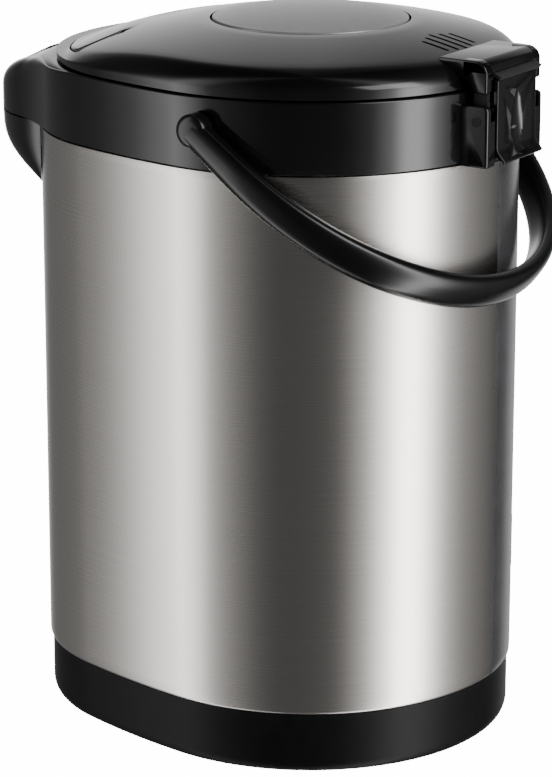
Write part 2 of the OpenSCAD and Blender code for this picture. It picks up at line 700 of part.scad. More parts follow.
// The band's section at a place along the handle: a point of its middle line and its outward direction
function band_at(x, y, a, h) = let (b = band(h)) [for (i = [len(b) - 1:-1:0])
    [x + b[i][0] * cos(a), y + b[i][0] * sin(a), b[i][1]]];
function band_h(t) = handle_arm_h + (handle_h - handle_arm_h) * sin(90 * t);
handle_rings = concat(
    [for (i = [0:3]) band_at(handle_mid, handle_arm * i / 4, 0, band_h(i / 12))],
    [for (i = [0:24]) let (a = 180 * i / 24) band_at(handle_mid * cos(a), handle_arm + handle_mid * sin(a), a,
        band_h(min(1, 1 / 3 + 2 / 3 * min(i, 24 - i) / 12)))],
    [for (i = [1:4]) band_at(-handle_mid, handle_arm * (4 - i) / 4, 180, band_h((4 - i) / 12))]);

module handle() {
    color("#141415") at_pivot() difference() {
        union() {
            loft(handle_rings);
            both_sides() translate([handle_in, 0, 0]) rotate([0, 90, 0]) cylinder(r = handle_arm_h / 2 + 1.2, h = handle_t);
        }
        both_sides() translate([handle_in - 1, 0, 0]) rotate([0, 90, 0]) cylinder(r = pivot_r + pin_gap, h = handle_t + 2);
        both_sides() translate([handle_in + handle_t - 3, 0, 0]) rotate([0, 90, 0]) cylinder(r = pivot_r + 1.6, h = 4);
    }
}

module pivot_screws() {
    color("#2a2a2c") both_sides() translate([0, pivot_y, pivot_z]) rotate([0, 90, 0]) {
        translate([0, 0, rear_r - 10]) cylinder(r = pivot_r, h = handle_in + handle_t - 2.6 - rear_r + 10);
        translate([0, 0, rear_r - 10]) cylinder(r = pivot_r + 3, h = 5);
        translate([0, 0, handle_in + handle_t - 2.6]) cylinder(r = pivot_r + 1.2, h = 2.4);
    }
}

// ---------------------------------------------------------------- lid

// Height of the lid's domed top at a distance from the centre line
function dome(r) = plate_edge_z - (r * r - plate_r * plate_r) / (2 * lid_curve);
// Ring of the lid's top that stands in from the rim, with the whole top moved up by rise. Over the
// low front tip the outside stays level with the top of the wall and the inside runs 1.5 mm under it
function lid_ring(inset, rise, rim) = [for (p = lid_egg(-rim - inset)) let (
    k = inset >= lid_round ? 1 : sqrt(1 - pow((lid_round - inset) / lid_round, 2)),
    h = dome(norm(p)) + rise - lid_z - lid_wall)
    [p[0], p[1], lid_z + lid_wall + (h > 0 ? h * k : max(h, rise < 0 ? -1.5 : 0))]];
// Ring that runs from the pump well (t = 0) to where the rim starts to round off (t = 1)
function top_ring(t, rise, rim) = [for (p = lid_egg(-rim - lid_round)) let (r = norm(p), s = well_r + (r - well_r) * t)
    [p[0] * s / r, p[1] * s / r, dome(s) + rise]];
function lid_rings(insets, rise, rim) = concat([for (i = insets) lid_ring(i, rise, rim)],
    [for (t = [1, 0.66, 0.33, 0]) top_ring(t, rise, rim)]);
rim_insets = [0, 0.4, 1.2, 2.4, 4];
// Cut for the top of the release lever, which swings past the back of the open lid
relief_r = norm([lever_back - hinge_y, lever_top - hinge_z]) + move_gap;
module relief_cut() {
    translate([-slot_in - 0.9, hinge_y, hinge_z]) rotate([0, 90, 0])
        cylinder(r = (relief_r + 1.7) / cos(15), h = 2 * slot_in + 1.8, $fn = 12);
}
// Plan outline of the latch flap, which ends 8 mm short of the lid's front
function latch_plan(off) = let (w = 43, f = 2.3 * off - latch_rear, r = front_r(lid_reach)) concat(
    [[w + off, f], [-w - off, f]], arc(0, r - lid_reach, r - 8 + off, 220 - off, 320 + off, steps));

module lid_shell() {
    color("#232326") difference() {
        ring_wall(concat([at_z(lid_egg(-lid_inset), lid_z)], lid_rings(rim_insets, 0, lid_inset),
            backwards(lid_rings(rim_insets, -shell_t, lid_inset + shell_t)), [at_z(lid_egg(-lid_inset - shell_t), lid_z)]));
        relief_cut();
        prism(latch_plan(0.7), lid_z + 1.3, crown_z);
        for (i = [-2:2]) let (l = 21 - 3.5 * abs(i)) translate([i * vent_pitch - vent_w / 2, vent_y - l / 2, lid_z + 6])
            cube([vent_w, l, 30]);
    }
}

// The tail of the lid runs level from where the dome has fallen to its height
tail_y = rear_y - 15;
tail_z = dome(tail_y);
tail_back = bracket_back - 1;
tail_top = [[hinge_y + 1.2, tail_z - 0.3], [hinge_y + 4.1, tail_z - 2.6], [tail_back, tail_z - 5]];
yoke_roof = hinge_z + 17.3;
cheek_foot = hinge_z + 8.7;
module lid_yoke() {
    color("#202023") difference() {
        union() {
            both_sides() translate([slot_in + 0.8, 0, 0]) rotate([90, 0, 90]) linear_extrude(bracket_w - slot_in - 1.2)
                polygon(concat([[rear_y - 3.5, tail_z - 5.5], [rear_y - 2, tail_z]], tail_top,
                    [[tail_back, cheek_foot], [hinge_y - 1.5, cheek_foot], [hinge_y - 4, hinge_z + 15]]));
            side_view(concat([[rear_y - 2, tail_z - 4], [rear_y - 7.5, dome(rear_y - 7.5) + 0.2], [tail_y, tail_z]], tail_top,
                [[tail_back, yoke_roof], [rear_y + 2, yoke_roof]]), slot_in + 1);
            difference() {
                across(hinge_y, hinge_z, relief_r + 1.6, slot_in + 0.8);
                across(hinge_y, hinge_z, relief_r, slot_in + 2);
                translate([-50, -10, hinge_z - 60]) cube([100, 200, lid_z - hinge_z + 60]);
                translate([-50, rear_y - lid_inset, hinge_z - 60]) cube([100, 100, 200]);
            }
            both_sides() translate([slot_in + 0.25, 0, 0]) rotate([90, 0, 90]) linear_extrude(2.4)
                polygon([[hinge_y - 3, hinge_z], [hinge_y - 3, hinge_z + 12], [hinge_y + 3, hinge_z + 12], [hinge_y + 3, hinge_z]]);
            both_sides() translate([slot_in + 0.25, hinge_y, hinge_z]) rotate([0, 90, 0]) cylinder(r = 3.4, h = 2.4);
        }
        across(hinge_y, hinge_z, hinge_pin_r, bracket_w);
    }
}

well_floor = lid_z + lid_wall - sheet_gap;
latch_y = -latch_rear - 6;
hook_y = -latch_rear - 37;
latch_z = dome(latch_rear) - 9;
module lid_frame() {
    color("#2d2d30") difference() {
        union() {
            prism(lid_egg(-lid_inset - shell_t - sheet_gap), lid_z, well_floor);
            translate([0, 0, lid_z]) cylinder(r = well_r + 1.6, h = dome(well_r) - shell_t - 1 - lid_z, $fn = 96);
            both_sides() translate([31.5, latch_y - 3, well_floor - 1]) cube([3, 6, latch_z + 2.4 - well_floor + 1]);
        }
        translate([0, 0, well_floor]) cylinder(r = well_r, h = 60, $fn = 96);
        translate([0, 0, lid_z - 1]) cylinder(r = 5, h = 10);
        across(latch_y, latch_z, 1.5, 36);
        translate([-5, hook_y - 5, lid_z - 5]) cube([10, 9.5, 12]);
        translate([-70, -front_reach, lid_z + 1.3]) cube([140, front_reach + hook_y + 24, 10]);
        relief_cut();
        for (a = [45:90:359]) rotate([0, 0, a]) translate([58, 0, lid_z - 1]) cylinder(r = 1.6, h = 10);
    }
}

module lid_screws() {
    color("#a8a8aa") for (a = [45:90:359]) rotate([0, 0, a]) translate([58, 0, 0]) {
        translate([0, 0, top_z - 6]) cylinder(r = 1.5, h = 9);
        translate([0, 0, top_z - 8]) cylinder(r = 3, h = 2);
    }
}

plug_z = top_z - 12;
module inner_cover() {
    color("#c9cacc") difference() {
        union() {
            translate([0, 0, plug_z]) cylinder(r = mouth_r - 4.3, h = lid_z - plug_z, $fn = 96);
            translate([0, 0, plug_z]) cylinder(r = mouth_r - 2.3, h = 2, $fn = 96);
        }
        translate([0, 0, plug_z + 2.5]) cylinder(r = mouth_r - 20, h = 30, $fn = 72);
        translate([0, 0, plug_z - 1]) cylinder(r = 6, h = 10);
        for (a = [45:90:359]) rotate([0, 0, a]) translate([58, 0, plug_z - 1]) {
            cylinder(r = 1.6, h = 30);
            cylinder(r = 3.2, h = top_z - 6 - plug_z + 1);
        }
    }
}

module lid_gasket() {
    color("#dcdcdc") translate([0, 0, plug_z + 2]) difference() {
        cylinder(r = mouth_r - 0.5, h = 4, $fn = 96);
        translate([0, 0, -1]) cylinder(r = mouth_r - 4.3, h = 6, $fn = 96);
    }
}

module air_valve() {
    color("#e0e0e0") translate([0, 0, plug_z - 3]) difference() {
        union() { cylinder(r = 8, h = 3); translate([0, 0, 3]) cylinder(r = 5.9, h = 2.5); }
        translate([0, 0, -1]) cylinder(r = 2, h = 10);
    }
}

bellows_top = plate_edge_z - 3;
module bellows() {
    folds = 5;
    h = bellows_top - well_floor;
    color("#5a5a5c") translate([0, 0, well_floor]) rotate_extrude($fn = 72) polygon(concat(
        [for (i = [0:2 * folds]) [bellows_r - (i % 2 == 0 ? 0 : 3), h * i / (2 * folds)]],
        [for (i = [2 * folds:-1:0]) [bellows_r - 1 - (i % 2 == 0 ? 0 : 3), h * i / (2 * folds)]]));
}

module plate_spring() {
    color("#b8b8ba") translate([0, 0, well_floor]) coil(14, 0.8, 5, bellows_top - well_floor);
}

module press_plate() {
    color("#8a8a8c") rotate_extrude($fn = 96) polygon(concat(
        [[0, bellows_top]],
        [[plate_r - 2, bellows_top], [plate_r - 2, well_floor + plate_travel + 1], [plate_r, well_floor + plate_travel + 1]],
        [for (i = [12:-1:0]) let (r = plate_r * i / 12) [r, crown_z - r * r / (2 * plate_curve)]]));
    color("#8a8a8c") translate([0, 0, lid_z + 0.7]) cylinder(r = 4.5, h = bellows_top - lid_z);
}

module lid_latch() {
    color("#6a6a6c") difference() {
        union() {
            intersection() {
                ring_wall(concat(lid_rings([5], 0.7, lid_inset), backwards(lid_rings([5], -1.8, lid_inset))));
                prism(latch_plan(0), lid_z, crown_z);
            }
            both_sides() translate([26, latch_y - 2.5, latch_z - 2.5]) cube([5, 5, 8]);
            translate([-4, hook_y, top_z - 8]) cube([8, 3, dome(-hook_y) - top_z + 7]);
        }
        across(latch_y, latch_z, 1.5 + pin_gap, 40);
    }
}

module latch_pin() { color("#b0b0b2") both_sides() translate([25, latch_y, latch_z]) rotate([0, 90, 0]) cylinder(r = 1.5, h = 9.5); }

module latch_spring() {
    color("#b8b8ba") translate([0, latch_y - 14, well_floor]) coil(4, 0.4, 4, dome(-latch_y + 18) - 1.9 - well_floor);
}

// ---------------------------------------------------------------- nodes

base_shell();
bottom_cover();
rubber_feet();
cover_screws();
chassis();
steel_jacket();
rear_strip();
power_inlet();
inlet_pins();
inner_pot();
insulation();
heater_plate();
thermostat();
thermal_fuse();
pump_housing();
pump_motor();
pump_impeller();
drain_hose();
riser_tube();
outlet_elbow();
spout_nozzle();
gauge_tube();
level_window();
power_board();
board_posts();
tie_rods();
shoulder_ring();
spout_cover();
control_panel();
panel_board();
lamp_lenses();
dispense_button();
reboil_button();
lock_button();
pot_collar();
pot_seal();
hinge_bracket();
bracket_screws();
release_lever();
release_pin();
release_spring();
handle();
pivot_screws();
lid_shell();
lid_yoke();
hinge_pin();
lid_frame();
lid_screws();
inner_cover();
lid_gasket();
air_valve();
bellows();
plate_spring();
press_plate();
lid_latch();
latch_pin();
latch_spring();
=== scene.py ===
"""Looks of an electric thermo pot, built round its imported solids.

Sizes are in millimetres and are turned into metres where a mesh is made. Z is up from the table,
-Y is the front with the spout, +Y the back with the hinge, and X = Y = 0 is the pot's centre line.
"""

import logging
import math
from dataclasses import dataclass, field
from enum import Enum
from typing import Callable, Sequence

import bmesh
import bpy
import numpy as np
from mathutils import Matrix, Vector

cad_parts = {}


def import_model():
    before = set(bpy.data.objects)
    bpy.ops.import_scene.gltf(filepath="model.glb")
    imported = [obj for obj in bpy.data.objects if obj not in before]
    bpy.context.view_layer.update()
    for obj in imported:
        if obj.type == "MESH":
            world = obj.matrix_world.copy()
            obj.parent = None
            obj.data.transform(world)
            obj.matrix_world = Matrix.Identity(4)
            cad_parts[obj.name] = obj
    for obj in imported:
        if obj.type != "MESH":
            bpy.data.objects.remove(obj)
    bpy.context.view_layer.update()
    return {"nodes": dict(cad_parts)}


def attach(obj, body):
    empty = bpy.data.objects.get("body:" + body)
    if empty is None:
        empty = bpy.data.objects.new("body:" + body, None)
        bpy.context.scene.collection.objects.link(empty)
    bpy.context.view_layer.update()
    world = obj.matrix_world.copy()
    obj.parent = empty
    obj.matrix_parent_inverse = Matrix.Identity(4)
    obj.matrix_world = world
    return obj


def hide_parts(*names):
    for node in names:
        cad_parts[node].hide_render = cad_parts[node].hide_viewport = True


LOG = logging.getLogger("thermo_pot")
MM = 0.001
Array = np.ndarray
Colour = tuple[float, float, float]


# ---------------------------------------------------------------- meshes


def grid_faces(rows: int, cols: int, close_rows: bool = False, close_cols: bool = False) -> Array:
    """Quads between the neighbours of a rows x cols grid of points.

    Args:
        rows: Number of rows.
        cols: Number of points in a row.
        close_rows: Whether the last row joins the first.
        close_cols: Whether the last point of a row joins its first.

    Returns:
        An (n, 4) array of point numbers.
    """
    i = np.arange(rows if close_rows else rows - 1)[:, None]
    j = np.arange(cols if close_cols else cols - 1)[None, :]
    a, b = i * cols, ((i + 1) % rows) * cols
    k = (j + 1) % cols
    return np.stack([a + j, b + j, b + k, a + k], axis=-1).reshape(-1, 4)


@dataclass
class Shell:
    """Points in millimetres and faces that will become one mesh."""

    points: Array
    faces: list[Sequence[int]]

    @classmethod
    def of_grid(cls, grid: Array, close_rows: bool = False, close_cols: bool = False,
                cap_rows: bool = False) -> "Shell":
        """Shell over a grid of points.

        Args:
            grid: Points of shape (rows, cols, 3).
            close_rows: Whether the last row joins the first.
            close_cols: Whether each row is a ring.
            cap_rows: Whether the first and last ring are filled by one face each.

        Returns:
            The shell.
        """
        rows, cols = grid.shape[:2]
        faces: list[Sequence[int]] = grid_faces(rows, cols, close_rows, close_cols).tolist()
        if cap_rows:
            faces.append(list(range(cols)))
            faces.append(list(range(rows * cols - 1, (rows - 1) * cols - 1, -1)))
        return cls(grid.reshape(-1, 3), faces)

    @classmethod
    def sleeve(cls, grid: Array) -> "Shell":
        """Shell over closed columns of points, whose first and last column are each filled by a face."""
        skin = cls.of_grid(grid, close_rows=True)
        rows, cols = grid.shape[:2]
        first, last = ([i * cols + j for i in range(rows)] for j in (0, cols - 1))
        return cls(skin.points, skin.faces + [first, last[::-1]])

    def __add__(self, other: "Shell") -> "Shell":
        """Both shells as one."""
        n = len(self.points)
        return Shell(np.vstack([self.points, other.points]),
                     list(self.faces) + [[n + i for i in face] for face in other.faces])

    def mirrored(self) -> "Shell":
        """The shell on the other side of the plane X = 0, with its faces turned round."""
        return Shell(self.points * (-1, 1, 1), [list(face)[::-1] for face in self.faces])

    def placed(self, matrix: Matrix) -> "Shell":
        """The shell moved by a 4 x 4 matrix whose offsets are in millimetres."""
        m = np.array(matrix)
        return Shell(self.points @ m[:3, :3].T + m[:3, 3], self.faces)

    def mesh(self, name: str) -> bpy.types.Object:
        """An object in metres with its doubles merged and its faces pointing outwards."""
        data = bpy.data.meshes.new(name)
        data.from_pydata((self.points * MM).tolist(), [], self.faces)
        tidy(data)
        piece = bpy.data.objects.new(name, data)
        bpy.context.scene.collection.objects.link(piece)
        return piece


def tidy(data: bpy.types.Mesh, merge: float = 2e-6) -> None:
    """Merges a mesh's doubles and turns its faces outwards.

    Args:
        data: The mesh.
        merge: Largest distance in metres between two points that become one.
    """
    work = bmesh.new()
    work.from_mesh(data)
    bmesh.ops.remove_doubles(work, verts=work.verts, dist=merge)
    bmesh.ops.dissolve_degenerate(work, edges=work.edges, dist=merge)
    bmesh.ops.recalc_face_normals(work, faces=work.faces)
    work.to_mesh(data)
    work.free()
    data.update()


def soften(piece: bpy.types.Object, angle: float = 35.0) -> bpy.types.Object:
    """Shades a piece smooth, apart from edges sharper than an angle in degrees."""
    piece.data.polygons.foreach_set("use_smooth", [True] * len(piece.data.polygons))
    piece.data.set_sharp_from_angle(angle=math.radians(angle))
    return piece


def bake(piece: bpy.types.Object) -> bpy.types.Object:
    """Turns a piece's modifiers into its mesh."""
    graph = bpy.context.evaluated_depsgraph_get()
    data = bpy.data.meshes.new_from_object(piece.evaluated_get(graph), depsgraph=graph)
    piece.modifiers.clear()
    old, piece.data = piece.data, data
    bpy.data.meshes.remove(old)
    return piece


def cut(piece: bpy.types.Object, *tools: Shell) -> bpy.types.Object:
    """Takes the space of some shells out of a piece.

    Args:
        piece: The piece.
        tools: Closed shells.

    Returns:
        The piece, with the cuts in its mesh.
    """
    cutters = [tool.mesh("cutter") for tool in tools]
    for cutter in cutters:
        step = piece.modifiers.new("cut", "BOOLEAN")
        step.operation, step.solver, step.object = "DIFFERENCE", "EXACT", cutter
    bpy.context.view_layer.update()
    bake(piece)
    for cutter in cutters:
        bpy.data.objects.remove(cutter)
    return piece


def round_edges(piece: bpy.types.Object, width: float, segments: int = 3, angle: float = 30.0) -> bpy.types.Object:
    """Rounds a piece's sharp edges.

    Args:
        piece: The piece.
        width: Width of the round-off in millimetres.
        segments: Number of faces across it.
        angle: Edges sharper than this many degrees are rounded.

    Returns:
        The piece, with the round-offs in its mesh.
    """
    step = piece.modifiers.new("round", "BEVEL")
    step.width, step.segments, step.limit_method = width * MM, segments, "ANGLE"
    step.angle_limit, step.harden_normals = math.radians(angle), False
    return soften(bake(piece))


def extrusion(outline: Array, low: float, high: float, axis: str = "z") -> Shell:
    """Closed prism: the outline's points repeated at two places along an axis.

    Args:
        outline: Points of shape (n, 2), as [x, y] for axis z and as [y, z] for axis x.
        low: Where it begins on the axis.
        high: Where it ends.
        axis: z or x.

    Returns:
        The prism.
    """
    rings = []
    for place in (low, high):
        wall = np.full((len(outline), 1), float(place))
        rings.append(np.hstack([outline, wall] if axis == "z" else [wall, outline]))
    return Shell.of_grid(np.stack(rings), close_cols=True, cap_rows=True)


def block(low: Sequence[float], high: Sequence[float]) -> Shell:
    """Closed box between two corners in millimetres, as a prism of its footprint."""
    (x0, y0, z0), (x1, y1, z1) = low, high
    return extrusion(np.array([[x0, y0], [x1, y0], [x1, y1], [x0, y1]], float), z0, z1)


def turned(profile: Sequence[Sequence[float]] | Array, sides: int = 96) -> Shell:
    """Surface of a profile carried round the Z axis: (r, z) becomes (r cos t, r sin t, z).

    Args:
        profile: Points of shape (n, 2), as [radius, height], from the axis to the axis.
        sides: Number of steps round.

    Returns:
        The shell.
    """
    t = np.linspace(0, 2 * math.pi, sides, endpoint=False)
    r, z = np.array(profile, float).T[:, :, None]
    grid = np.stack([r * np.cos(t), r * np.sin(t), z + 0 * t], axis=-1)
    return Shell.of_grid(grid, close_cols=True)


def rod(radius: float, low: float, high: float, sides: int = 48) -> Shell:
    """Closed cylinder on the Z axis."""
    return turned([[0, low], [radius, low], [radius, high], [0, high]], sides)


def facing_x(x: float, y: float, z: float) -> Matrix:
    """Frame at a point in millimetres whose own Z axis lies along X."""
    return Matrix.Translation((x, y, z)) @ Matrix.Rotation(math.pi / 2, 4, "Y")


def rounded_corner(a: Array, b: Array, c: Array, radius: float, count: int = 5) -> Array:
    """Arc that replaces the corner b between a and c: a circle that touches both sides.

    Args:
        a: Point before the corner.
        b: The corner.
        c: Point after it.
        radius: Radius of the arc.
        count: Number of points on it.

    Returns:
        Points of shape (count, 2).
    """
    u, v = (a - b) / np.linalg.norm(a - b), (c - b) / np.linalg.norm(c - b)
    half = math.acos(max(-1.0, min(1.0, float(u @ v)))) / 2
    reach = min(radius / math.tan(half), 0.49 * min(np.linalg.norm(a - b), np.linalg.norm(c - b)))
    radius = reach * math.tan(half)
    middle = b + (u + v) / np.linalg.norm(u + v) * radius / math.sin(half)
    start, end = b + u * reach - middle, b + v * reach - middle
    t = np.linspace(0, 1, count)[:, None]
    sweep = math.pi - 2 * half
    return middle + (np.sin((1 - t) * sweep) * start + np.sin(t * sweep) * end) / max(math.sin(sweep), 1e-9)


def rounded(outline: Sequence[Sequence[float]], radii: float | Sequence[float], count: int = 5) -> Array:
    """Closed outline with each corner rounded by rounded_corner.

    Args:
        outline: Corners as [u, v].
        radii: One radius, or one for each corner; 0 keeps the corner sharp.
        count: Number of points at each round corner.

    Returns:
        Points of shape (n, 2).
    """
    corners = np.array(outline, float)
    n = len(corners)
    each = [radii] * n if isinstance(radii, (int, float)) else list(radii)
    parts = [corners[i][None] if each[i] <= 0 else
             rounded_corner(corners[i - 1], corners[i], corners[(i + 1) % n], each[i], count) for i in range(n)]
    return np.vstack(parts)


def rectangle(low: Sequence[float], high: Sequence[float], radii: float | Sequence[float], count: int = 5) -> Array:
    """Rounded rectangle between two corners, from the lower left one round by the lower right."""
    (u0, v0), (u1, v1) = low, high
    return rounded([[u0, v0], [u1, v0], [u1, v1], [u0, v1]], radii, count)


# ---------------------------------------------------------------- finishes


class Nodes:
    """Short hand for building a node tree."""

    def __init__(self, tree: bpy.types.NodeTree) -> None:
        """Keeps the tree."""
        self.tree = tree

    def add(self, kind: str, values: dict[str, object] | None = None, **settings: object) -> bpy.types.Node:
        """Adds a node.

        Args:
            kind: Type name without its ShaderNode prefix.
            values: Input values or sockets to link, by input name or number.
            settings: Properties of the node.

        Returns:
            The node.
        """
        prefix = "" if kind.startswith("NodeGroup") else "ShaderNode"
        node = self.tree.nodes.new(prefix + kind)
        for key, setting in settings.items():
            setattr(node, key, setting)
        for key, value in (values or {}).items():
            socket = node.inputs[key]
            if isinstance(value, bpy.types.NodeSocket):
                self.tree.links.new(value, socket)
            else:
                socket.default_value = value
        return node

    def math(self, operation: str, *values: object) -> bpy.types.NodeSocket:
        """Result socket of a Math node whose inputs are numbers or sockets."""
        return self.add("Math", dict(enumerate(values)), operation=operation).outputs[0]

    def spread(self, value: object, low: float, high: float, to_low: float, to_high: float) -> bpy.types.NodeSocket:
        """Result socket of a clamped Map Range node."""
        return self.add("MapRange", {0: value, 1: low, 2: high, 3: to_low, 4: to_high}).outputs[0]

    def blend(self, amount: object, first: object, second: object) -> bpy.types.NodeSocket:
        """Colour between two colours."""
        mix = self.add("Mix", {0: amount, 6: first, 7: second}, data_type="RGBA")
        return mix.outputs[2]

    def ramp(self, value: object, stops: Sequence[tuple[float, float]]) -> bpy.types.NodeSocket:
        """Grey level from a colour ramp with (place, level) stops."""
        node = self.add("ValToRGB", {0: value})
        elements = node.color_ramp.elements
        while len(elements) < len(stops):
            elements.new(0.5)
        for element, (place, level) in zip(elements, stops):
            element.position, element.color = place, (level, level, level, 1)
        return node.outputs[0]


def shared_group(name: str, inputs: dict[str, float], outputs: Sequence[str],
                 build: Callable[[Nodes, bpy.types.Node], dict[str, bpy.types.NodeSocket]]) -> bpy.types.NodeTree:
    """Shader node group, built once and then found by its name.

    Args:
        name: Name of the group.
        inputs: Names and defaults of its inputs.
        outputs: Names of its outputs.
        build: Fills the group and returns the socket for each output.

    Returns:
        The group.
    """
    if name in bpy.data.node_groups:
        return bpy.data.node_groups[name]
    tree = bpy.data.node_groups.new(name, "ShaderNodeTree")
    for key, value in inputs.items():
        tree.interface.new_socket(key, in_out="INPUT", socket_type="NodeSocketFloat").default_value = value
    for key in outputs:
        tree.interface.new_socket(key, in_out="OUTPUT", socket_type="NodeSocketFloat")
    nodes = Nodes(tree)
    source, sink = nodes.add("NodeGroupInput"), nodes.add("NodeGroupOutput")
    for key, socket in build(nodes, source).items():
        tree.links.new(socket, sink.inputs[key])
    return tree


def surface_group() -> bpy.types.NodeTree:
    """Moulded surface: fine grain, slow mottling, wear on edges and dust on faces that look up.

    Grain is noise at a size in millimetres, mottling is noise thirty times wider, wear is where the
    mesh's pointiness is high and broken up by noise, and dust is sparse specks plus a thin film on
    upward faces.

    Returns:
        The group.
    """
    def build(nodes: Nodes, source: bpy.types.Node) -> dict[str, bpy.types.NodeSocket]:
        place = nodes.add("TexCoord").outputs["Object"]
        scale = nodes.math("DIVIDE", 1000.0, source.outputs["Grain size"])
        grain = nodes.add("TexNoise", {"Vector": place, "Scale": scale, "Detail": 3.0, "Roughness": 0.6}).outputs[0]
        mottle = nodes.add("TexNoise", {"Vector": place, "Scale": nodes.math("DIVIDE", scale, 30.0),
                                        "Detail": 2.0}).outputs[0]
        shape = nodes.add("NewGeometry")
        edge = nodes.spread(shape.outputs["Pointiness"], 0.515, 0.6, 0.0, 1.0)
        broken = nodes.math("MULTIPLY", edge, nodes.spread(mottle, 0.35, 0.65, 0.2, 1.0))
        up = nodes.add("SeparateXYZ", {0: shape.outputs["Normal"]}).outputs[2]
        specks = nodes.add("TexVoronoi", {"Vector": place, "Scale": 420.0}, feature="F1").outputs["Distance"]
        film = nodes.add("TexNoise", {"Vector": place, "Scale": 14.0, "Detail": 5.0, "Roughness": 0.7}).outputs[0]
        fine = nodes.math("MULTIPLY", nodes.spread(specks, 0.05, 0.16, 1.0, 0.0),
                          nodes.spread(film, 0.5, 0.72, 0.0, 1.0))
        dust = nodes.math("MULTIPLY", nodes.math("ADD", fine, nodes.spread(film, 0.42, 0.8, 0.0, 0.35)),
                          nodes.spread(up, 0.15, 0.9, 0.12, 1.0))
        return {"Grain": grain, "Mottle": mottle,
                "Wear": nodes.math("MULTIPLY", broken, source.outputs["Wear"]),
                "Dust": nodes.math("MULTIPLY", dust, source.outputs["Dust"])}
    return shared_group("moulded_surface", {"Grain size": 0.3, "Wear": 0.0, "Dust": 0.0},
                        ("Grain", "Mottle", "Wear", "Dust"), build)


@dataclass(frozen=True)
class Finish:
    """A moulded, painted, rubber or plain metal finish with grain, mottling, edge wear and dust."""

    name: str
    colour: Colour
    roughness: float = 0.4
    metallic: float = 0.0
    grain: float = 0.01
    grain_size: float = 0.3
    mottle: float = 0.12
    wear: float = 0.15
    dust: float = 0.1
    level: float = 0.5
    clear: float = 0.0

    def material(self) -> bpy.types.Material:
        """The finish as a Blender material, built once."""
        if self.name in bpy.data.materials:
            return bpy.data.materials[self.name]
        made = bpy.data.materials.new(self.name)
        made.use_nodes = True
        made.diffuse_color = (*self.colour, 1)
        nodes = Nodes(made.node_tree)
        shader = made.node_tree.nodes["Principled BSDF"]
        group = nodes.add("Group", node_tree=surface_group())
        for key, value in (("Grain size", self.grain_size), ("Wear", self.wear), ("Dust", self.dust)):
            group.inputs[key].default_value = value
        link = made.node_tree.links.new
        shift = nodes.spread(group.outputs["Mottle"], 0.3, 0.7, 0.0, 1.0)
        dark = tuple(c * (1 - self.mottle) for c in self.colour)
        light = tuple(min(1.0, c * (1 + self.mottle)) for c in self.colour)
        base = nodes.blend(shift, (*dark, 1), (*light, 1))
        worn = nodes.blend(group.outputs["Wear"], base, (*(min(1.0, c * 1.6 + 0.06) for c in self.colour), 1))
        dusted = nodes.blend(group.outputs["Dust"], worn, (0.42, 0.41, 0.39, 1))
        link(dusted, shader.inputs["Base Color"])
        rough = nodes.spread(group.outputs["Grain"], 0.3, 0.7, self.roughness * 0.88, min(1.0, self.roughness * 1.12))
        rough = nodes.math("ADD", rough, nodes.math("MULTIPLY", group.outputs["Dust"], 0.35))
        link(rough, shader.inputs["Roughness"])
        bump = nodes.add("Bump", {"Height": group.outputs["Grain"], "Strength": 1.0, "Distance": self.grain * MM})
        link(bump.outputs[0], shader.inputs["Normal"])
        shader.inputs["Metallic"].default_value = self.metallic
        shader.inputs["Specular IOR Level"].default_value = self.level
        shader.inputs["Transmission Weight"].default_value = self.clear
        return made


def streak_group() -> bpy.types.NodeTree:
    """Brushed sheet: fine lines along the brushing, which runs round the body.

    Each line is noise stretched far along the plan directions and short in height, in two widths
    that are added by their shares.

    Returns:
        The group.
    """
    def build(nodes: Nodes, source: bpy.types.Node) -> dict[str, bpy.types.NodeSocket]:
        place = nodes.add("TexCoord").outputs["Object"]
        parts = []
        for plan, high, share in ((7.0, 5200.0, 0.65), (2.5, 900.0, 0.35)):
            drawn = nodes.add("Mapping", {"Vector": place, "Scale": (plan, plan, high)}).outputs[0]
            noise = nodes.add("TexNoise", {"Vector": drawn, "Scale": 1.0, "Detail": 2.0}).outputs[0]
            parts.append(nodes.math("MULTIPLY", noise, share))
        return {"Lines": nodes.math("ADD", *parts)}
    return shared_group("brushed_lines", {}, ("Lines",), build)


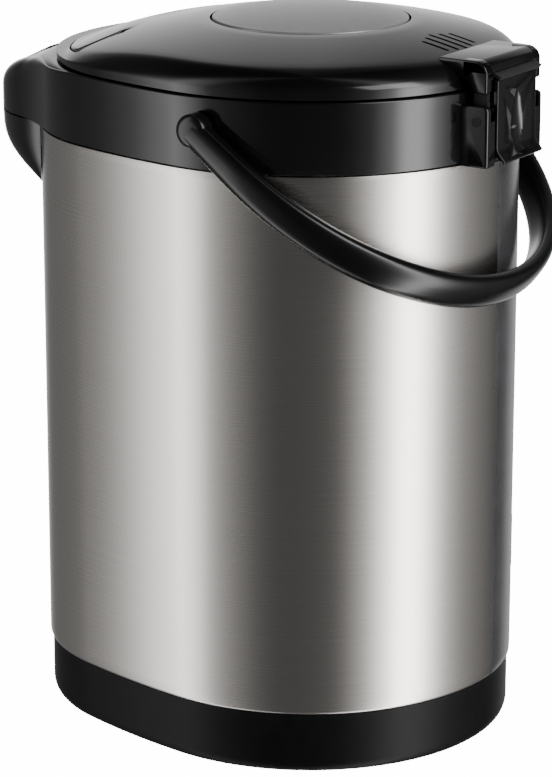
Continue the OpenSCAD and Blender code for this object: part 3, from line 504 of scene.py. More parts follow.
@dataclass(frozen=True)
class BrushedSheet:
    """Brushed steel sheet whose grain runs round the Z axis."""

    name: str
    colour: Colour
    roughness: float = 0.3
    anisotropy: float = 0.7
    depth: float = 0.002
    turn: float = 0.25

    def material(self) -> bpy.types.Material:
        """The finish as a Blender material, built once."""
        if self.name in bpy.data.materials:
            return bpy.data.materials[self.name]
        made = bpy.data.materials.new(self.name)
        made.use_nodes = True
        made.diffuse_color = (*self.colour, 1)
        nodes = Nodes(made.node_tree)
        shader = made.node_tree.nodes["Principled BSDF"]
        lines = nodes.add("Group", node_tree=streak_group())
        marks = nodes.add("Group", node_tree=surface_group())
        for key, value in (("Grain size", 0.8), ("Wear", 0.0), ("Dust", 0.06)):
            marks.inputs[key].default_value = value
        link = made.node_tree.links.new
        level = nodes.spread(lines.outputs["Lines"], 0.3, 0.7, 0.0, 1.0)
        dark, light = (tuple(c * k for c in self.colour) for k in (0.98, 1.02))
        base = nodes.blend(level, (*dark, 1), (*light, 1))
        smudge = nodes.spread(marks.outputs["Mottle"], 0.35, 0.7, 0.0, 0.06)
        link(nodes.blend(smudge, base, (*(c * 0.8 for c in self.colour), 1)), shader.inputs["Base Color"])
        rough = nodes.spread(lines.outputs["Lines"], 0.3, 0.7, self.roughness * 0.93, self.roughness * 1.07)
        link(nodes.math("ADD", rough, nodes.math("MULTIPLY", marks.outputs["Dust"], 0.3)), shader.inputs["Roughness"])
        bump = nodes.add("Bump", {"Height": lines.outputs["Lines"], "Strength": 1.0, "Distance": self.depth * MM})
        link(bump.outputs[0], shader.inputs["Normal"])
        shader.inputs["Metallic"].default_value = 1.0
        shader.inputs["Anisotropic"].default_value = self.anisotropy
        shader.inputs["Anisotropic Rotation"].default_value = self.turn
        link(nodes.add("Tangent", direction_type="RADIAL", axis="Z").outputs[0], shader.inputs["Tangent"])
        return made


class Look(Enum):
    """Finishes of the thermo pot."""

    GLOSS = Finish("gloss_black_shell", (0.0035, 0.0035, 0.004), 0.13, grain=0.004, grain_size=0.9,
                   mottle=0.2, dust=0.02, wear=0.1, level=0.5)
    SATIN = Finish("satin_black_moulding", (0.0045, 0.0045, 0.005), 0.32, grain=0.012, grain_size=0.22,
                   mottle=0.2, dust=0.03, wear=0.12)
    BASE = Finish("base_black", (0.0045, 0.0045, 0.005), 0.42, grain=0.012, grain_size=0.22,
                  mottle=0.2, dust=0.02, wear=0.1, level=0.12)
    HANDLE = Finish("handle_gloss", (0.0035, 0.0035, 0.004), 0.2, grain=0.006, grain_size=0.5,
                    mottle=0.2, dust=0.02, wear=0.1, level=0.4)
    RECESS = Finish("dark_recess_plastic", (0.006, 0.006, 0.0065), 0.5, grain=0.01, grain_size=0.25, dust=0.04)
    STRIP = Finish("smoked_strip", (0.055, 0.055, 0.058), 0.22, grain=0.004, grain_size=0.5, dust=0.08)
    PLATE = Finish("press_plate_silver", (0.3, 0.3, 0.3), 0.3, 0.3, grain=0.004, grain_size=0.16,
                   mottle=0.05, dust=0.12)
    PANEL = Finish("panel_film", (0.04, 0.04, 0.045), 0.3, grain=0.006, grain_size=0.2)
    BUTTON_GREY = Finish("button_grey", (0.5, 0.5, 0.52), 0.42, grain=0.01, grain_size=0.2)
    BUTTON_ORANGE = Finish("button_orange", (0.62, 0.17, 0.035), 0.42, grain=0.01, grain_size=0.2)
    LAMP = Finish("lamp_red", (0.6, 0.05, 0.03), 0.2, grain=0.0, clear=0.5)
    RUBBER = Finish("black_rubber", (0.02, 0.02, 0.02), 0.75, grain=0.02, grain_size=0.35, dust=0.3)
    SILICONE = Finish("milky_silicone", (0.72, 0.72, 0.7), 0.5, grain=0.006, grain_size=0.5, dust=0.15)
    CREAM = Finish("cream_moulding", (0.62, 0.58, 0.5), 0.45, grain=0.01, grain_size=0.3)
    CLEAR = Finish("clear_tube", (0.93, 0.96, 0.96), 0.06, grain=0.0, mottle=0.01, wear=0.0, dust=0.05, clear=0.95)
    ZINC = Finish("zinc_plate", (0.58, 0.58, 0.6), 0.32, 1.0, grain=0.006, grain_size=0.5, mottle=0.1)
    ALLOY = Finish("cast_alloy", (0.5, 0.5, 0.5), 0.5, 1.0, grain=0.03, grain_size=0.5, mottle=0.15)
    BRASS = Finish("brass_pin", (0.78, 0.56, 0.24), 0.25, 1.0, grain=0.004, grain_size=0.4)
    BOARD = Finish("green_board", (0.03, 0.16, 0.06), 0.35, grain=0.01, grain_size=0.4)
    FELT = Finish("insulation_wool", (0.7, 0.66, 0.55), 0.95, grain=0.25, grain_size=0.9, mottle=0.25)
    POT = BrushedSheet("pot_steel", (0.62, 0.61, 0.6), 0.24, 0.4, 0.001)
    JACKET = BrushedSheet("brushed_jacket", (0.63, 0.6, 0.57), 0.28, 0.75, 0.0002)

    def on(self, piece: bpy.types.Object) -> bpy.types.Object:
        """Puts the finish on a piece, in place of what it had."""
        piece.data.materials.clear()
        piece.data.materials.append(self.value.material())
        return piece


def fit(piece: bpy.types.Object, look: Look, body: str, *nodes: str) -> bpy.types.Object:
    """Dresses a piece, lets it ride on a body and reports it.

    Args:
        piece: The finished piece.
        look: Its finish.
        body: The body it moves with.
        nodes: CAD nodes that it stands for.

    Returns:
        The piece.
    """
    look.on(piece)
    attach(piece, body)
    if nodes:
        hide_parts(*nodes)
    LOG.info("%s: %d faces on %s", piece.name, len(piece.data.polygons), body)
    return piece


# ---------------------------------------------------------------- outline


@dataclass(frozen=True)
class EggPlan:
    """Plan outline of the body: a round back, two long flat sides and a narrower front, all arcs.

    A point's angle is that of the outline's outward normal, in degrees from +X, and each arc covers
    its own range of angles, so the outline can be moved outward or inward exactly.
    """

    rear_r: float = 97.5
    rear_y: float = 0.0
    side_a: float = 8.0
    side_r: float = 358.0
    front_reach: float = 134.0

    @property
    def side(self) -> tuple[float, float]:
        """Distance of a side arc's centre beyond the centre line, and its y."""
        span, a = self.side_r - self.rear_r, math.radians(self.side_a)
        return span * math.cos(a), self.rear_y + span * math.sin(a)

    @property
    def front(self) -> tuple[float, float, float]:
        """Radius of the front arc, the y of its centre, and the angle where it meets a side."""
        x, y = self.side
        d = y + self.front_reach
        r = (self.side_r ** 2 - x ** 2 - d ** 2) / (2 * (self.side_r - d))
        return r, r - self.front_reach, math.degrees(math.atan2(y - r + self.front_reach, x))

    def angles(self, start: float | None = None, end: float | None = None) -> Array:
        """Normal angles from start to end, spaced closely on the tight arcs and at a side's own pace.

        Args:
            start: First angle; by default where the rear arc begins.
            end: Last angle, left out where it closes the ring; by default a full turn on.

        Returns:
            The angles.
        """
        bend, a = self.front[2], self.side_a
        start = -a if start is None else start
        end = start + 360 if end is None else end
        knots = [(-90, -bend, 33), (-bend, -a, 22), (-a, 180 + a, 126), (180 + a, 180 + bend, 22),
                 (180 + bend, 360 - bend, 66), (360 - bend, 360 - a, 22), (360 - a, 540 + a, 126)]
        every = np.concatenate([np.linspace(p, q, n, endpoint=False) for p, q, n in knots])
        inside = every[(every > start + 1e-6) & (every < end - 1e-6)]
        closed = abs(end - start - 360) < 1e-6
        return np.concatenate([[start], inside] if closed else [[start], inside, [end]])

    def ring(self, off: float | Array, angles: Array | None = None) -> Array:
        """Points of the outline moved outward: arc centre + (arc radius + off) x (cos a, sin a).

        Args:
            off: Distance outward, one for all or one for each angle.
            angles: Normal angles; all of them by default.

        Returns:
            Points of shape (n, 2).
        """
        a = self.angles() if angles is None else np.asarray(angles, float)
        turn = (a + 90) % 360 - 90
        (side_x, side_y), (front_r, front_y, bend) = self.side, self.front
        where = [turn < -bend, turn < -self.side_a, turn <= 180 + self.side_a, turn <= 180 + bend]
        cx = np.select(where, [0.0, -side_x, 0.0, side_x], 0.0)
        cy = np.select(where, [front_y, side_y, self.rear_y, side_y], front_y)
        r = np.select(where, [front_r, self.side_r, self.rear_r, self.side_r], front_r)
        t = np.radians(turn)
        return np.stack([cx + (r + off) * np.cos(t), cy + (r + off) * np.sin(t)], axis=-1)

    def stack(self, offs: Sequence[float], heights: Sequence[float], angles: Array | None = None) -> Array:
        """Rings at some offsets and heights as one grid of points."""
        rings = [self.ring(off, angles) for off in offs]
        return np.stack([np.hstack([ring, np.full((len(ring), 1), float(z))]) for ring, z in zip(rings, heights)])


PLAN = EggPlan()
LID_PLAN = EggPlan(front_reach=125.0)
INLET_ANGLE, INLET_Z = 145.0, 75.0


def inlet_frame() -> Matrix:
    """From the mains socket's frame, with +X outwards, to the pot's."""
    return (Matrix.Translation((0, PLAN.rear_y, INLET_Z)) @ Matrix.Rotation(math.radians(INLET_ANGLE), 4, "Z")
            @ Matrix.Translation((PLAN.rear_r, 0, 0)))


@dataclass
class Jacket:
    """Brushed steel jacket, the smoked strip down its back and the level window in its front."""

    low: float = 30.0
    high: float = 281.7
    sheet: float = 0.8
    hem: float = 1.5
    strip: tuple[float, float] = (93.0, 160.0)
    window: tuple[float, float, float] = (13.0, 80.0, 230.0)
    inlet: tuple[float, float] = (17.2, 13.2)

    def shell(self) -> bpy.types.Object:
        """Sheet round the body with a rolled hem at its foot, open where the strip lies.

        Returns:
            The jacket.
        """
        t = np.linspace(0, math.pi / 2, 6)
        edge = self.hem * 0.8
        offs = np.concatenate([-edge * (1 - np.sin(t)), [0.0] * 6, -0.25 * (1 - np.cos(t[1:]))])
        heights = np.concatenate([self.low + self.hem * (1 - np.cos(t)), np.linspace(self.low + 6, self.high - 4, 6),
                                  self.high - 0.25 + 0.25 * np.sin(t[1:])])
        around = PLAN.angles(self.strip[1] + 0.05, 360 + self.strip[0] - 0.05)
        outside = PLAN.stack(offs, heights, around)
        inside = PLAN.stack(np.minimum(offs, 0) - self.sheet, heights, around)[::-1]
        piece = Shell.sleeve(np.concatenate([outside, inside])).mesh("steel_jacket_sheet")
        x, z0, z1 = self.window
        tool = extrusion(rectangle([-x, z0], [x, z1], 2.5), PLAN.front_reach - 12, PLAN.front_reach + 5)
        points = tool.points[:, [0, 2, 1]] * (1, -1, 1)
        return soften(cut(piece, Shell(points, tool.faces)))

    def back_strip(self) -> bpy.types.Object:
        """Smooth strip that fills the gap of the jacket, a hair inside its face."""
        around = np.linspace(self.strip[0] + 0.35, self.strip[1] - 0.35, 66)
        dip = np.where((around < self.strip[0] + 1) | (around > self.strip[1] - 1), 0.5, 0.12)
        heights = np.array([self.low, self.low + 0.6, self.low + 4, 120, 200, self.high - 0.4, self.high])
        rim = np.array([0.5, 0.1, 0, 0, 0, 0.1, 0.4])
        outside = PLAN.stack([-dip - r for r in rim], heights, around)
        inside = PLAN.stack([-self.sheet] * len(heights), heights[::-1], around)
        piece = Shell.sleeve(np.concatenate([outside, inside])).mesh("smoked_back_strip")
        y, z = self.inlet
        return soften(cut(piece, extrusion(rectangle([-y, -z], [y, z], 2), -12, 12, "x").placed(inlet_frame())))

    def level_glass(self) -> bpy.types.Object:
        """Clear window with rounded corners that stands a little proud of the sheet."""
        x, z0, z1 = self.window
        outline = rectangle([-x + 0.2, z0 + 0.2], [x - 0.2, z1 - 0.2], 2.4, 7)
        r, y, _ = PLAN.front
        layers = []
        for off, inset in ((-1.6, 0.0), (0.3, 0.0), (0.65, 0.15), (0.8, 0.5)):
            flat = outline - np.sign(outline - (0, (z0 + z1) / 2)) * inset
            depth = y - np.sqrt((r + off) ** 2 - flat[:, 0] ** 2)
            layers.append(np.stack([flat[:, 0], depth, flat[:, 1]], axis=-1))
        return soften(Shell.of_grid(np.stack(layers), close_cols=True, cap_rows=True).mesh("level_window_glass"), 50)

    def build(self) -> None:
        """Builds and fits the three pieces."""
        fit(self.shell(), Look.JACKET, "housing", "steel_jacket")
        fit(self.back_strip(), Look.STRIP, "housing", "rear_strip")
        fit(self.level_glass(), Look.CLEAR, "housing", "level_window")


@dataclass
class Base:
    """Black base under the jacket, with a small round-off towards the table."""

    inset: float = 1.3
    lip: float = 15.8
    foot: float = 0.8
    top: float = 29.7
    round_h: float = 5.5
    round_w: float = 3.6
    wall: float = 2.5

    def shell(self) -> bpy.types.Object:
        """Wall whose foot follows a quarter ellipse, closed inside by the same wall moved in.

        Returns:
            The base.
        """
        t = np.linspace(0, math.pi / 2, 14)
        offs = -self.inset - self.round_w * (1 - np.sin(t))
        heights = self.foot + self.round_h * (1 - np.cos(t))
        outer = PLAN.stack([-self.inset - self.lip, *offs, -self.inset, -self.inset, -self.inset - 0.3],
                           [self.foot, *heights, self.top - 4, self.top - 0.3, self.top])
        inner = PLAN.stack([-self.inset - self.wall, *(offs - self.wall)[::-1], -self.inset - self.lip],
                           [self.top, *(heights + self.wall)[::-1], self.foot + self.wall])
        skin = Shell.of_grid(np.concatenate([outer, inner]), close_rows=True, close_cols=True)
        return soften(skin.mesh("base_moulding"), 40)

    def build(self) -> None:
        """Builds and fits the base."""
        fit(self.shell(), Look.BASE, "housing", "base_shell")


@dataclass
class PanelFrame:
    """Frame of the sloped control panel on the beak."""

    y: float = -145.5
    z: float = 307.6
    slope: float = 25.5
    half: float = 14.5
    buttons: tuple[float, float, float] = (-9.5, 0.0, 9.5)
    lamps: tuple[float, float] = (-4.75, 4.75)
    hole: float = 3.6

    @property
    def matrix(self) -> Matrix:
        """From the panel's own x, y, z to the pot's."""
        return Matrix.Translation((0, self.y, self.z)) @ Matrix.Rotation(math.radians(self.slope), 4, "X")

    def at(self, x: float, y: float) -> Matrix:
        """From a frame at a spot of the panel to the pot's."""
        return self.matrix @ Matrix.Translation((x, y, 0))


@dataclass
class Shoulder:
    """Black shoulder between jacket and lid, with the beak, its cover, the panel and the buttons."""

    low: float = 282.3
    top: float = 314.7
    wall: float = 2.5
    mouth: float = 80.2
    nose_y: float = -118.5
    nose_r: float = 47.5
    nose_a: float = -22.0
    root_a: float = -40.0
    bend_y: float = -124.0
    edge: float = 0.9
    nose_edge: float = 11.5
    frame: PanelFrame = field(default_factory=PanelFrame)

    def outline(self, off: float) -> Array:
        """Body outline joined to the beak's round nose by a smooth curve on each side.

        The curve is a cubic that leaves the body and meets the nose along their own directions.

        Args:
            off: Distance outward.

        Returns:
            Points of shape (n, 2), from the right root of the beak round the back to the left one
            and round the nose.
        """
        body = PLAN.ring(off, PLAN.angles(self.root_a, 180 - self.root_a))
        a = np.radians(np.linspace(-180 - self.nose_a, self.nose_a, 61))
        nose = np.stack([(self.nose_r + off) * np.cos(a), self.nose_y + (self.nose_r + off) * np.sin(a)], axis=-1)
        t = np.linspace(0, 1, 18)[1:-1, None]
        p, q = nose[-1], body[0]
        span = np.linalg.norm(q - p)
        u = span * np.array([-math.sin(math.radians(self.nose_a)), math.cos(math.radians(self.nose_a))])
        v = span * np.array([-math.sin(math.radians(self.root_a)), math.cos(math.radians(self.root_a))])
        side = ((2 * t ** 3 - 3 * t ** 2 + 1) * p + (t ** 3 - 2 * t ** 2 + t) * u
                + (-2 * t ** 3 + 3 * t ** 2) * q + (t ** 3 - t ** 2) * v)
        return np.vstack([body, side[::-1] * (-1, 1), nose, side])

    @staticmethod
    def eased(d: Array, soft: float) -> Array:
        """d where it is positive and 0 elsewhere, with a parabola of half width soft between."""
        return np.where(d < -soft, 0, np.where(d > soft, d, (d + soft) ** 2 / (4 * soft)))

    def height(self, plan: Array) -> Array:
        """Height of the top at some plan points.

        It is level up to a line, then falls by 0.2 d + 0.0078 d^2 along the beak, where d is the
        distance beyond the line. Away from the lid it also falls to both sides, as an arch.

        Args:
            plan: Points of shape (n, 2).

        Returns:
            Heights of shape (n,).
        """
        x, y = np.abs(plan[:, 0]), plan[:, 1]
        d = self.bend_y - y
        fall = 0.2 * self.eased(d, 4.0) + 0.0078 * np.maximum(d, 0) ** 2
        arch = 0.16 * self.eased(x - 20, 14.0)
        r, front_y, _ = LID_PLAN.front
        away = np.clip((np.hypot(plan[:, 0], y - front_y) - r) / 13, 0, 1) * (y < -60)
        return self.top - fall - arch * away ** 2 * (3 - 2 * away)

    def ring(self) -> bpy.types.Object:
        """Wall, round-off, top and inner wall as one closed loop of rings.

        Column by column the wall goes up to the round-off, whose radius grows towards the nose. The
        top then runs straight in the plan to the round mouth, at the height of the plan point.

        Returns:
            The shoulder.
        """
        out = self.outline(0.0)
        away = self.outline(1.0) - out
        far = np.clip((-100 - out[:, 1]) / 50, 0, 1)
        r = self.edge + (self.nose_edge - self.edge) * far ** 2 * (3 - 2 * far)
        polar = np.arctan2(out[:, 1], out[:, 0])
        mouth = self.mouth * np.stack([np.cos(polar), np.sin(polar)], axis=-1)
        crest = self.height(out - away * r[:, None])
        rows = []

        def add(plan: Array, z: Array | float) -> None:
            """Adds a ring."""
            rows.append(np.hstack([plan, np.broadcast_to(z, (len(plan),))[:, None]]))

        add(out - away * 0.25, self.low)
        for t in (0.01, 0.4, 0.8):
            add(out, self.low + (crest - r - self.low) * t)
        for t in np.radians(np.linspace(0, 90, 10)):
            add(out - away * (r * (1 - math.cos(t)))[:, None], crest - r * (1 - math.sin(t)))
        start = out - away * r[:, None]
        for t in np.linspace(0, 1, 30)[1:] ** 1.4:
            plan = start + (mouth - start) * t
            add(plan, self.height(plan))
        add(mouth, self.height(mouth) - self.wall)
        inner = out - away * np.maximum(r, self.wall)[:, None]
        for t in np.linspace(0, 1, 9)[1:]:
            plan = mouth + (inner - mouth) * t
            add(plan, self.height(plan) - self.wall)
        add(out - away * self.wall, np.minimum(crest - r, self.height(inner) - self.wall - 0.5))
        add(out - away * self.wall, self.low)
        piece = Shell.of_grid(np.stack(rows), close_rows=True, close_cols=True).mesh("shoulder_and_beak")
        w, r = self.frame.half, self.frame.hole
        recess = extrusion(rectangle([-w, -9.2], [w, 9.2], 2.4), -1.2, 10).placed(self.frame.matrix)
        hook = block((-6, -118, 305), (6, -108.5, 318))
        wells = [rod(r, -12, 6, 40).placed(self.frame.at(x, 0)) for x in self.frame.buttons]
        return soften(cut(piece, recess, hook, *wells), 38)

    def spout_cover(self) -> bpy.types.Object:
        """Rounded housing under the beak: rings of the beak's plan that draw in as they go down.

        A ring at angle t lies 32.6 sin(t)^0.66 under the seam, and its points have gone back
        towards the body by the share 1 - cos(t)^1.79 of their reach.

        Returns:
            The cover.
        """
        a = np.radians(np.linspace(0, -180, 49))
        r = self.nose_r
        plan = np.vstack([[r, -100.0], np.stack([r * np.cos(a), self.nose_y + r * np.sin(a)], -1), [-r, -100.0]])
        rows = []
        for t in np.radians(np.linspace(0, 90, 17)):
            draw = 0.99 * (1 - abs(math.cos(t)) ** 1.79)
            ring = plan.copy()
            ring[:, 1] += np.minimum(0, ring[:, 1] + 117) * -draw
            rows.append(np.hstack([ring, np.full((len(ring), 1), 281.7 - 32.6 * math.sin(t) ** 0.66)]))
        solid = Shell.of_grid(np.stack(rows), close_cols=True, cap_rows=True)
        middle = np.array([0, -126, 281.7])
        hollow = Shell((solid.points - middle) * (0.925, 0.925, 0.915) + middle + (0, 0, 0.3), solid.faces)
        body = extrusion(PLAN.ring(0.6), 240, 290)
        hole = rod(7.6, 240, 275).placed(Matrix.Translation((0, -143, 0)))
        return soften(cut(solid.mesh("spout_cover_moulding"), body, hole, hollow), 40)

    def panel(self) -> bpy.types.Object:
        """Film-covered plate with rounded corners, holes for buttons and small ones for the lamps."""
        w = self.frame.half - 0.2
        plate = extrusion(rectangle([-w, -9], [w, 9], 2.3), -1.1, 0.1).placed(self.frame.matrix)
        holes = [(x, 0, self.frame.hole) for x in self.frame.buttons] + [(x, 6, 1.3) for x in self.frame.lamps]
        tools = [rod(r, -4, 4, 40).placed(self.frame.at(x, y)) for x, y, r in holes]
        return soften(cut(plate.mesh("control_panel_plate"), *tools), 40)

    def button(self, name: str, x: float) -> bpy.types.Object:
        """Round button with a softened rim, a dished face and its stem."""
        t = np.radians(np.linspace(0, 90, 6))
        rim = np.stack([2.8 + 0.5 * np.cos(t), -0.1 + 0.5 * np.sin(t)], -1)
        profile = np.vstack([[0, -3.4], [1.6, -3.4], [1.6, -2.6], [3.3, -2.6], rim, [2.0, 0.3], [1.0, 0.2], [0, 0.17]])
        return soften(turned(profile, 48).placed(self.frame.at(x, 0)).mesh(name), 40)

    def build(self) -> None:
        """Builds and fits the shoulder's pieces."""
        fit(self.ring(), Look.GLOSS, "housing", "shoulder_ring")
        fit(self.spout_cover(), Look.GLOSS, "housing", "spout_cover")
        fit(self.panel(), Look.PANEL, "housing", "control_panel")
        looks = (Look.BUTTON_GREY, Look.BUTTON_ORANGE, Look.BUTTON_GREY)
        for node, x, look in zip(("dispense", "reboil", "lock"), self.frame.buttons, looks):
            fit(self.button(node + "_cap", x), look, node, node + "_button")


@dataclass
class Lid:
    """Domed lid with its press plate, latch flap, steam slots and the tail that holds the hinge."""

    low: float = 315.3
    wall: float = 3.2
    inset: float = 1.2
    edge: float = 10.5
    thick: float = 2.5
    plate_r: float = 45.5
    well_r: float = 46.5
    crown: float = 342.2
    plate_curve: float = 175.0
    curve: float = 340.0
    droop: float = 0.0016
    droop_r: float = 80.0
    hinge: tuple[float, float] = (101.4, 306.0)
    relief: float = 16.6
    slot_in: float = 18.3
    half: float = 25.2

    def dome(self, r: Array | float) -> Array:
        """Height of the domed top at a distance r from the centre: a parabola, steeper beyond droop_r."""
        rim = self.crown - self.plate_r ** 2 / (2 * self.plate_curve)
        beyond = np.maximum(np.asarray(r) - self.droop_r, 0)
        return rim - (np.square(r) - self.plate_r ** 2) / (2 * self.curve) - self.droop * np.square(beyond)

    def rings(self, rim: float, rise: float, count: int = 12) -> list[Array]:
        """Rings over the lid's top, from the rim to the well.

        At an inset d the height is wall top + (dome - wall top) x sqrt(1 - ((e - d) / e)^2), where e
        is the width of the round-off, and further in it is the dome itself.

        Args:
            rim: How far in the rim lies.
            rise: Height added to the dome.
            count: Number of rings in the round-off.

        Returns:
            Arrays of shape (n, 3).
        """
        found = []
        base = self.low + self.wall
        for t in np.linspace(0, math.pi / 2, count):
            d = self.edge * (1 - math.cos(t))
            plan = LID_PLAN.ring(-rim - d)
            h = self.dome(np.linalg.norm(plan, axis=1)) + rise - base
            z = base + np.where(h > 0, h * math.sin(t), np.maximum(h, -1.5 if rise < 0 else 0))
            found.append(np.hstack([plan, z[:, None]]))
        plan = LID_PLAN.ring(-rim - self.edge)
        r = np.linalg.norm(plan, axis=1)
        for t in np.linspace(1, 0, 12)[1:]:
            s = self.well_r + (r - self.well_r) * t
            z = self.dome(s) + rise - (0.35 if t == 0 and rise == 0 else 0)
            found.append(np.hstack([plan * (s / r)[:, None], z[:, None]]))
        return found

    def latch_plan(self, off: float) -> Array:
        """Plan of the latch flap: straight behind, an arc concentric with the lid's front before."""
        r, y, _ = LID_PLAN.front
        a = np.radians(np.linspace(220 - off, 320 + off, 40))
        arc = np.stack([(r - 8 + off) * np.cos(a), y + (r - 8 + off) * np.sin(a)], -1)
        return np.vstack([[43 + off, -76 + 2.3 * off], [-43 - off, -76 + 2.3 * off], arc])

    def cover(self) -> bpy.types.Object:
        """Lid shell with the openings for the flap, the steam slots and the release lever."""
        outer = LID_PLAN.stack([-self.inset - 0.3, -self.inset, -self.inset],
                               [self.low, self.low + 0.3, self.low + 2])
        foot = LID_PLAN.stack([-self.inset - self.thick], [self.low])
        grid = np.concatenate([outer, np.stack(self.rings(self.inset, 0)),
                               np.stack(self.rings(self.inset + self.thick, -self.thick)[::-1]), foot])
        piece = Shell.of_grid(grid, close_rows=True, close_cols=True).mesh("lid_dome")
        y, z = self.hinge
        relief = rod(18.7, -19.2, 19.2, 64).placed(facing_x(0, y, z))
        slots = [extrusion(rectangle([x - 1.1, 73 - h], [x + 1.1, 73 + h], 1.05, 7), self.low + 6, 350)
                 for x, h in ((-12, 7), (-6, 8.75), (0, 10.5), (6, 8.75), (12, 7))]
        flap = extrusion(self.latch_plan(0.7), self.low + 1.3, 350)
        return soften(cut(piece, relief, flap, *slots), 40)

    def flap(self) -> bpy.types.Object:
        """Latch flap: the dome's own surface inside the flap's plan, raised a little, with a soft edge.

        Rings run from the plan's edge to a line in its middle, and each point takes the dome's height
        there plus 0.7, less a round-off near the edge.

        Returns:
            The flap with its pivots and hook.
        """
        plan = rounded(self.latch_plan(-0.02), [3, 3] + [0] * 40, 6)
        middle = np.array([0.0, -96.0])
        rows = []
        for share, drop in ((1.0, 2.6), (1.0, 1.0), (0.996, 0.4), (0.985, 0.08), (0.965, 0.0)):
            ring = middle + (plan - middle) * share
            rows.append(np.hstack([ring, (self.top(ring) + 0.7 - drop)[:, None]]))
        for share in np.linspace(0.9, 0.0, 9):
            ring = middle + (plan - middle) * max(share, 0.002)
            rows.append(np.hstack([ring, (self.top(ring) + 0.7)[:, None]]))
        under = np.hstack([plan, (self.top(plan) - 1.9)[:, None]])
        skin = Shell.of_grid(np.stack([under] + rows), close_cols=True, cap_rows=True)
        parts = skin
        for x in (26, -31):
            parts = parts + block((x, -84.5, 319.3), (x + 5, -79.5, 327.3))
        parts = parts + block((-4, -113, 307.0), (4, -110, 319.4))
        return soften(parts.mesh("latch_flap"), 40)

    def top(self, plan: Array) -> Array:
        """Height of the lid's top over some plan points, never under the top of its wall."""
        return np.maximum(self.dome(np.linalg.norm(plan, axis=1)), self.low + self.wall)

    def plate(self) -> bpy.types.Object:
        """Press plate: crown z = top - r^2 / (2 x curvature), a 1 mm round edge, a skirt and a stem."""
        rim = self.crown - (self.plate_r - 1) ** 2 / (2 * self.plate_curve)
        t = np.radians(np.linspace(90, 0, 7))
        edge = np.stack([self.plate_r - 1 + np.cos(t), rim - 1 + np.sin(t)], -1)
        r = np.linspace(0, self.plate_r - 1, 26)[:-1]
        crown = np.stack([r, self.crown - r ** 2 / (2 * self.plate_curve)], -1)
        out = self.plate_r
        skirt = [[out, 329.6], [out - 0.6, 329.3], [out - 2, 329.3], [out - 2, 333.3],
                 [4.5, 333.3], [4.5, 316.3], [4.2, 316.0], [0, 316.0]]
        return soften(turned(np.vstack([crown, edge, skirt]), 144).mesh("press_plate_disc"), 40)

    def tail(self) -> bpy.types.Object:
        """Roof and two cheeks behind the lid that carry the hinge, with every edge rounded."""
        y = self.hinge[0]
        d = float(self.dome(82.5))
        back = [[y + 1.2, d - 0.3], [y + 4.1, d - 2.4], [y + 5.2, d - 5]]
        roof = [[80, d - 2.6], [82.5, d]] + back + [[y + 5.2, 323.3], [99.5, 323.3], [95, 321]]
        cheek = [[94, d - 8], [94, d]] + back + [[y + 5.2, 314.7], [y - 1.5, 314.7], [y - 4, 320]]
        piece = extrusion(rounded(roof, [0, 0, 5, 3, 1.5, 0, 0, 0]), -self.half, self.half, "x").mesh("lid_tail")
        round_edges(piece, 0.8, 3)
        cheeks = []
        for low, high in ((self.slot_in + 0.8, self.half), (-self.half, -self.slot_in - 0.8)):
            part = extrusion(rounded(cheek, [0, 1, 5, 3, 1.5, 1, 1, 1]), low, high, "x").mesh("cheek")
            cheeks.append(round_edges(part, 0.8, 3))
        return soften(joined(piece, *cheeks), 40)

    def recess(self) -> bpy.types.Object:
        """Dark inside of the tail: the curved wall that the lever swings past, and the pin's eyes.

        The wall is a ring sector round the hinge axis, one clearance beyond the lever's reach.

        Returns:
            The lining.
        """
        y, z = self.hinge
        a = np.radians(np.linspace(60, 152, 40))
        wall = np.vstack([np.stack([y + r * np.cos(b), z + r * np.sin(b)], -1)
                          for r, b in ((self.relief, a), (self.relief + 1.6, a[::-1]))])
        keep = (wall[:, 1] > 315.4)
        piece = extrusion(wall[keep], -self.slot_in - 0.7, self.slot_in + 0.7, "x").mesh("tail_lining")
        s = self.slot_in + 0.25
        eyes = []
        for low, high in ((s, s + 2.4), (-s - 2.4, -s)):
            arm = rectangle([y - 3.4, z - 3.4], [y + 3.4, z + 12], [3.3, 3.3, 0.5, 0.5], 8)
            eyes.append(extrusion(arm, low, high, "x").mesh("eye"))
        return soften(joined(piece, *eyes), 40)

    def build(self) -> None:
        """Builds and fits the lid's pieces."""
        fit(self.cover(), Look.GLOSS, "lid", "lid_shell")
        fit(self.tail(), Look.GLOSS, "lid", "lid_yoke")
        fit(self.recess(), Look.RECESS, "lid")
        fit(self.plate(), Look.PLATE, "press", "press_plate")
        fit(self.flap(), Look.GLOSS, "latch", "lid_latch")


def joined(first: bpy.types.Object, *others: bpy.types.Object) -> bpy.types.Object:
    """One object from several that are in place.

    Args:
        first: The object that stays.
        others: Objects whose meshes go into it.

    Returns:
        The first object.
    """
    work = bmesh.new()
    for piece in (first, *others):
        work.from_mesh(piece.data)
    work.to_mesh(first.data)
    work.free()
    for piece in others:
        bpy.data.objects.remove(piece)
    return first


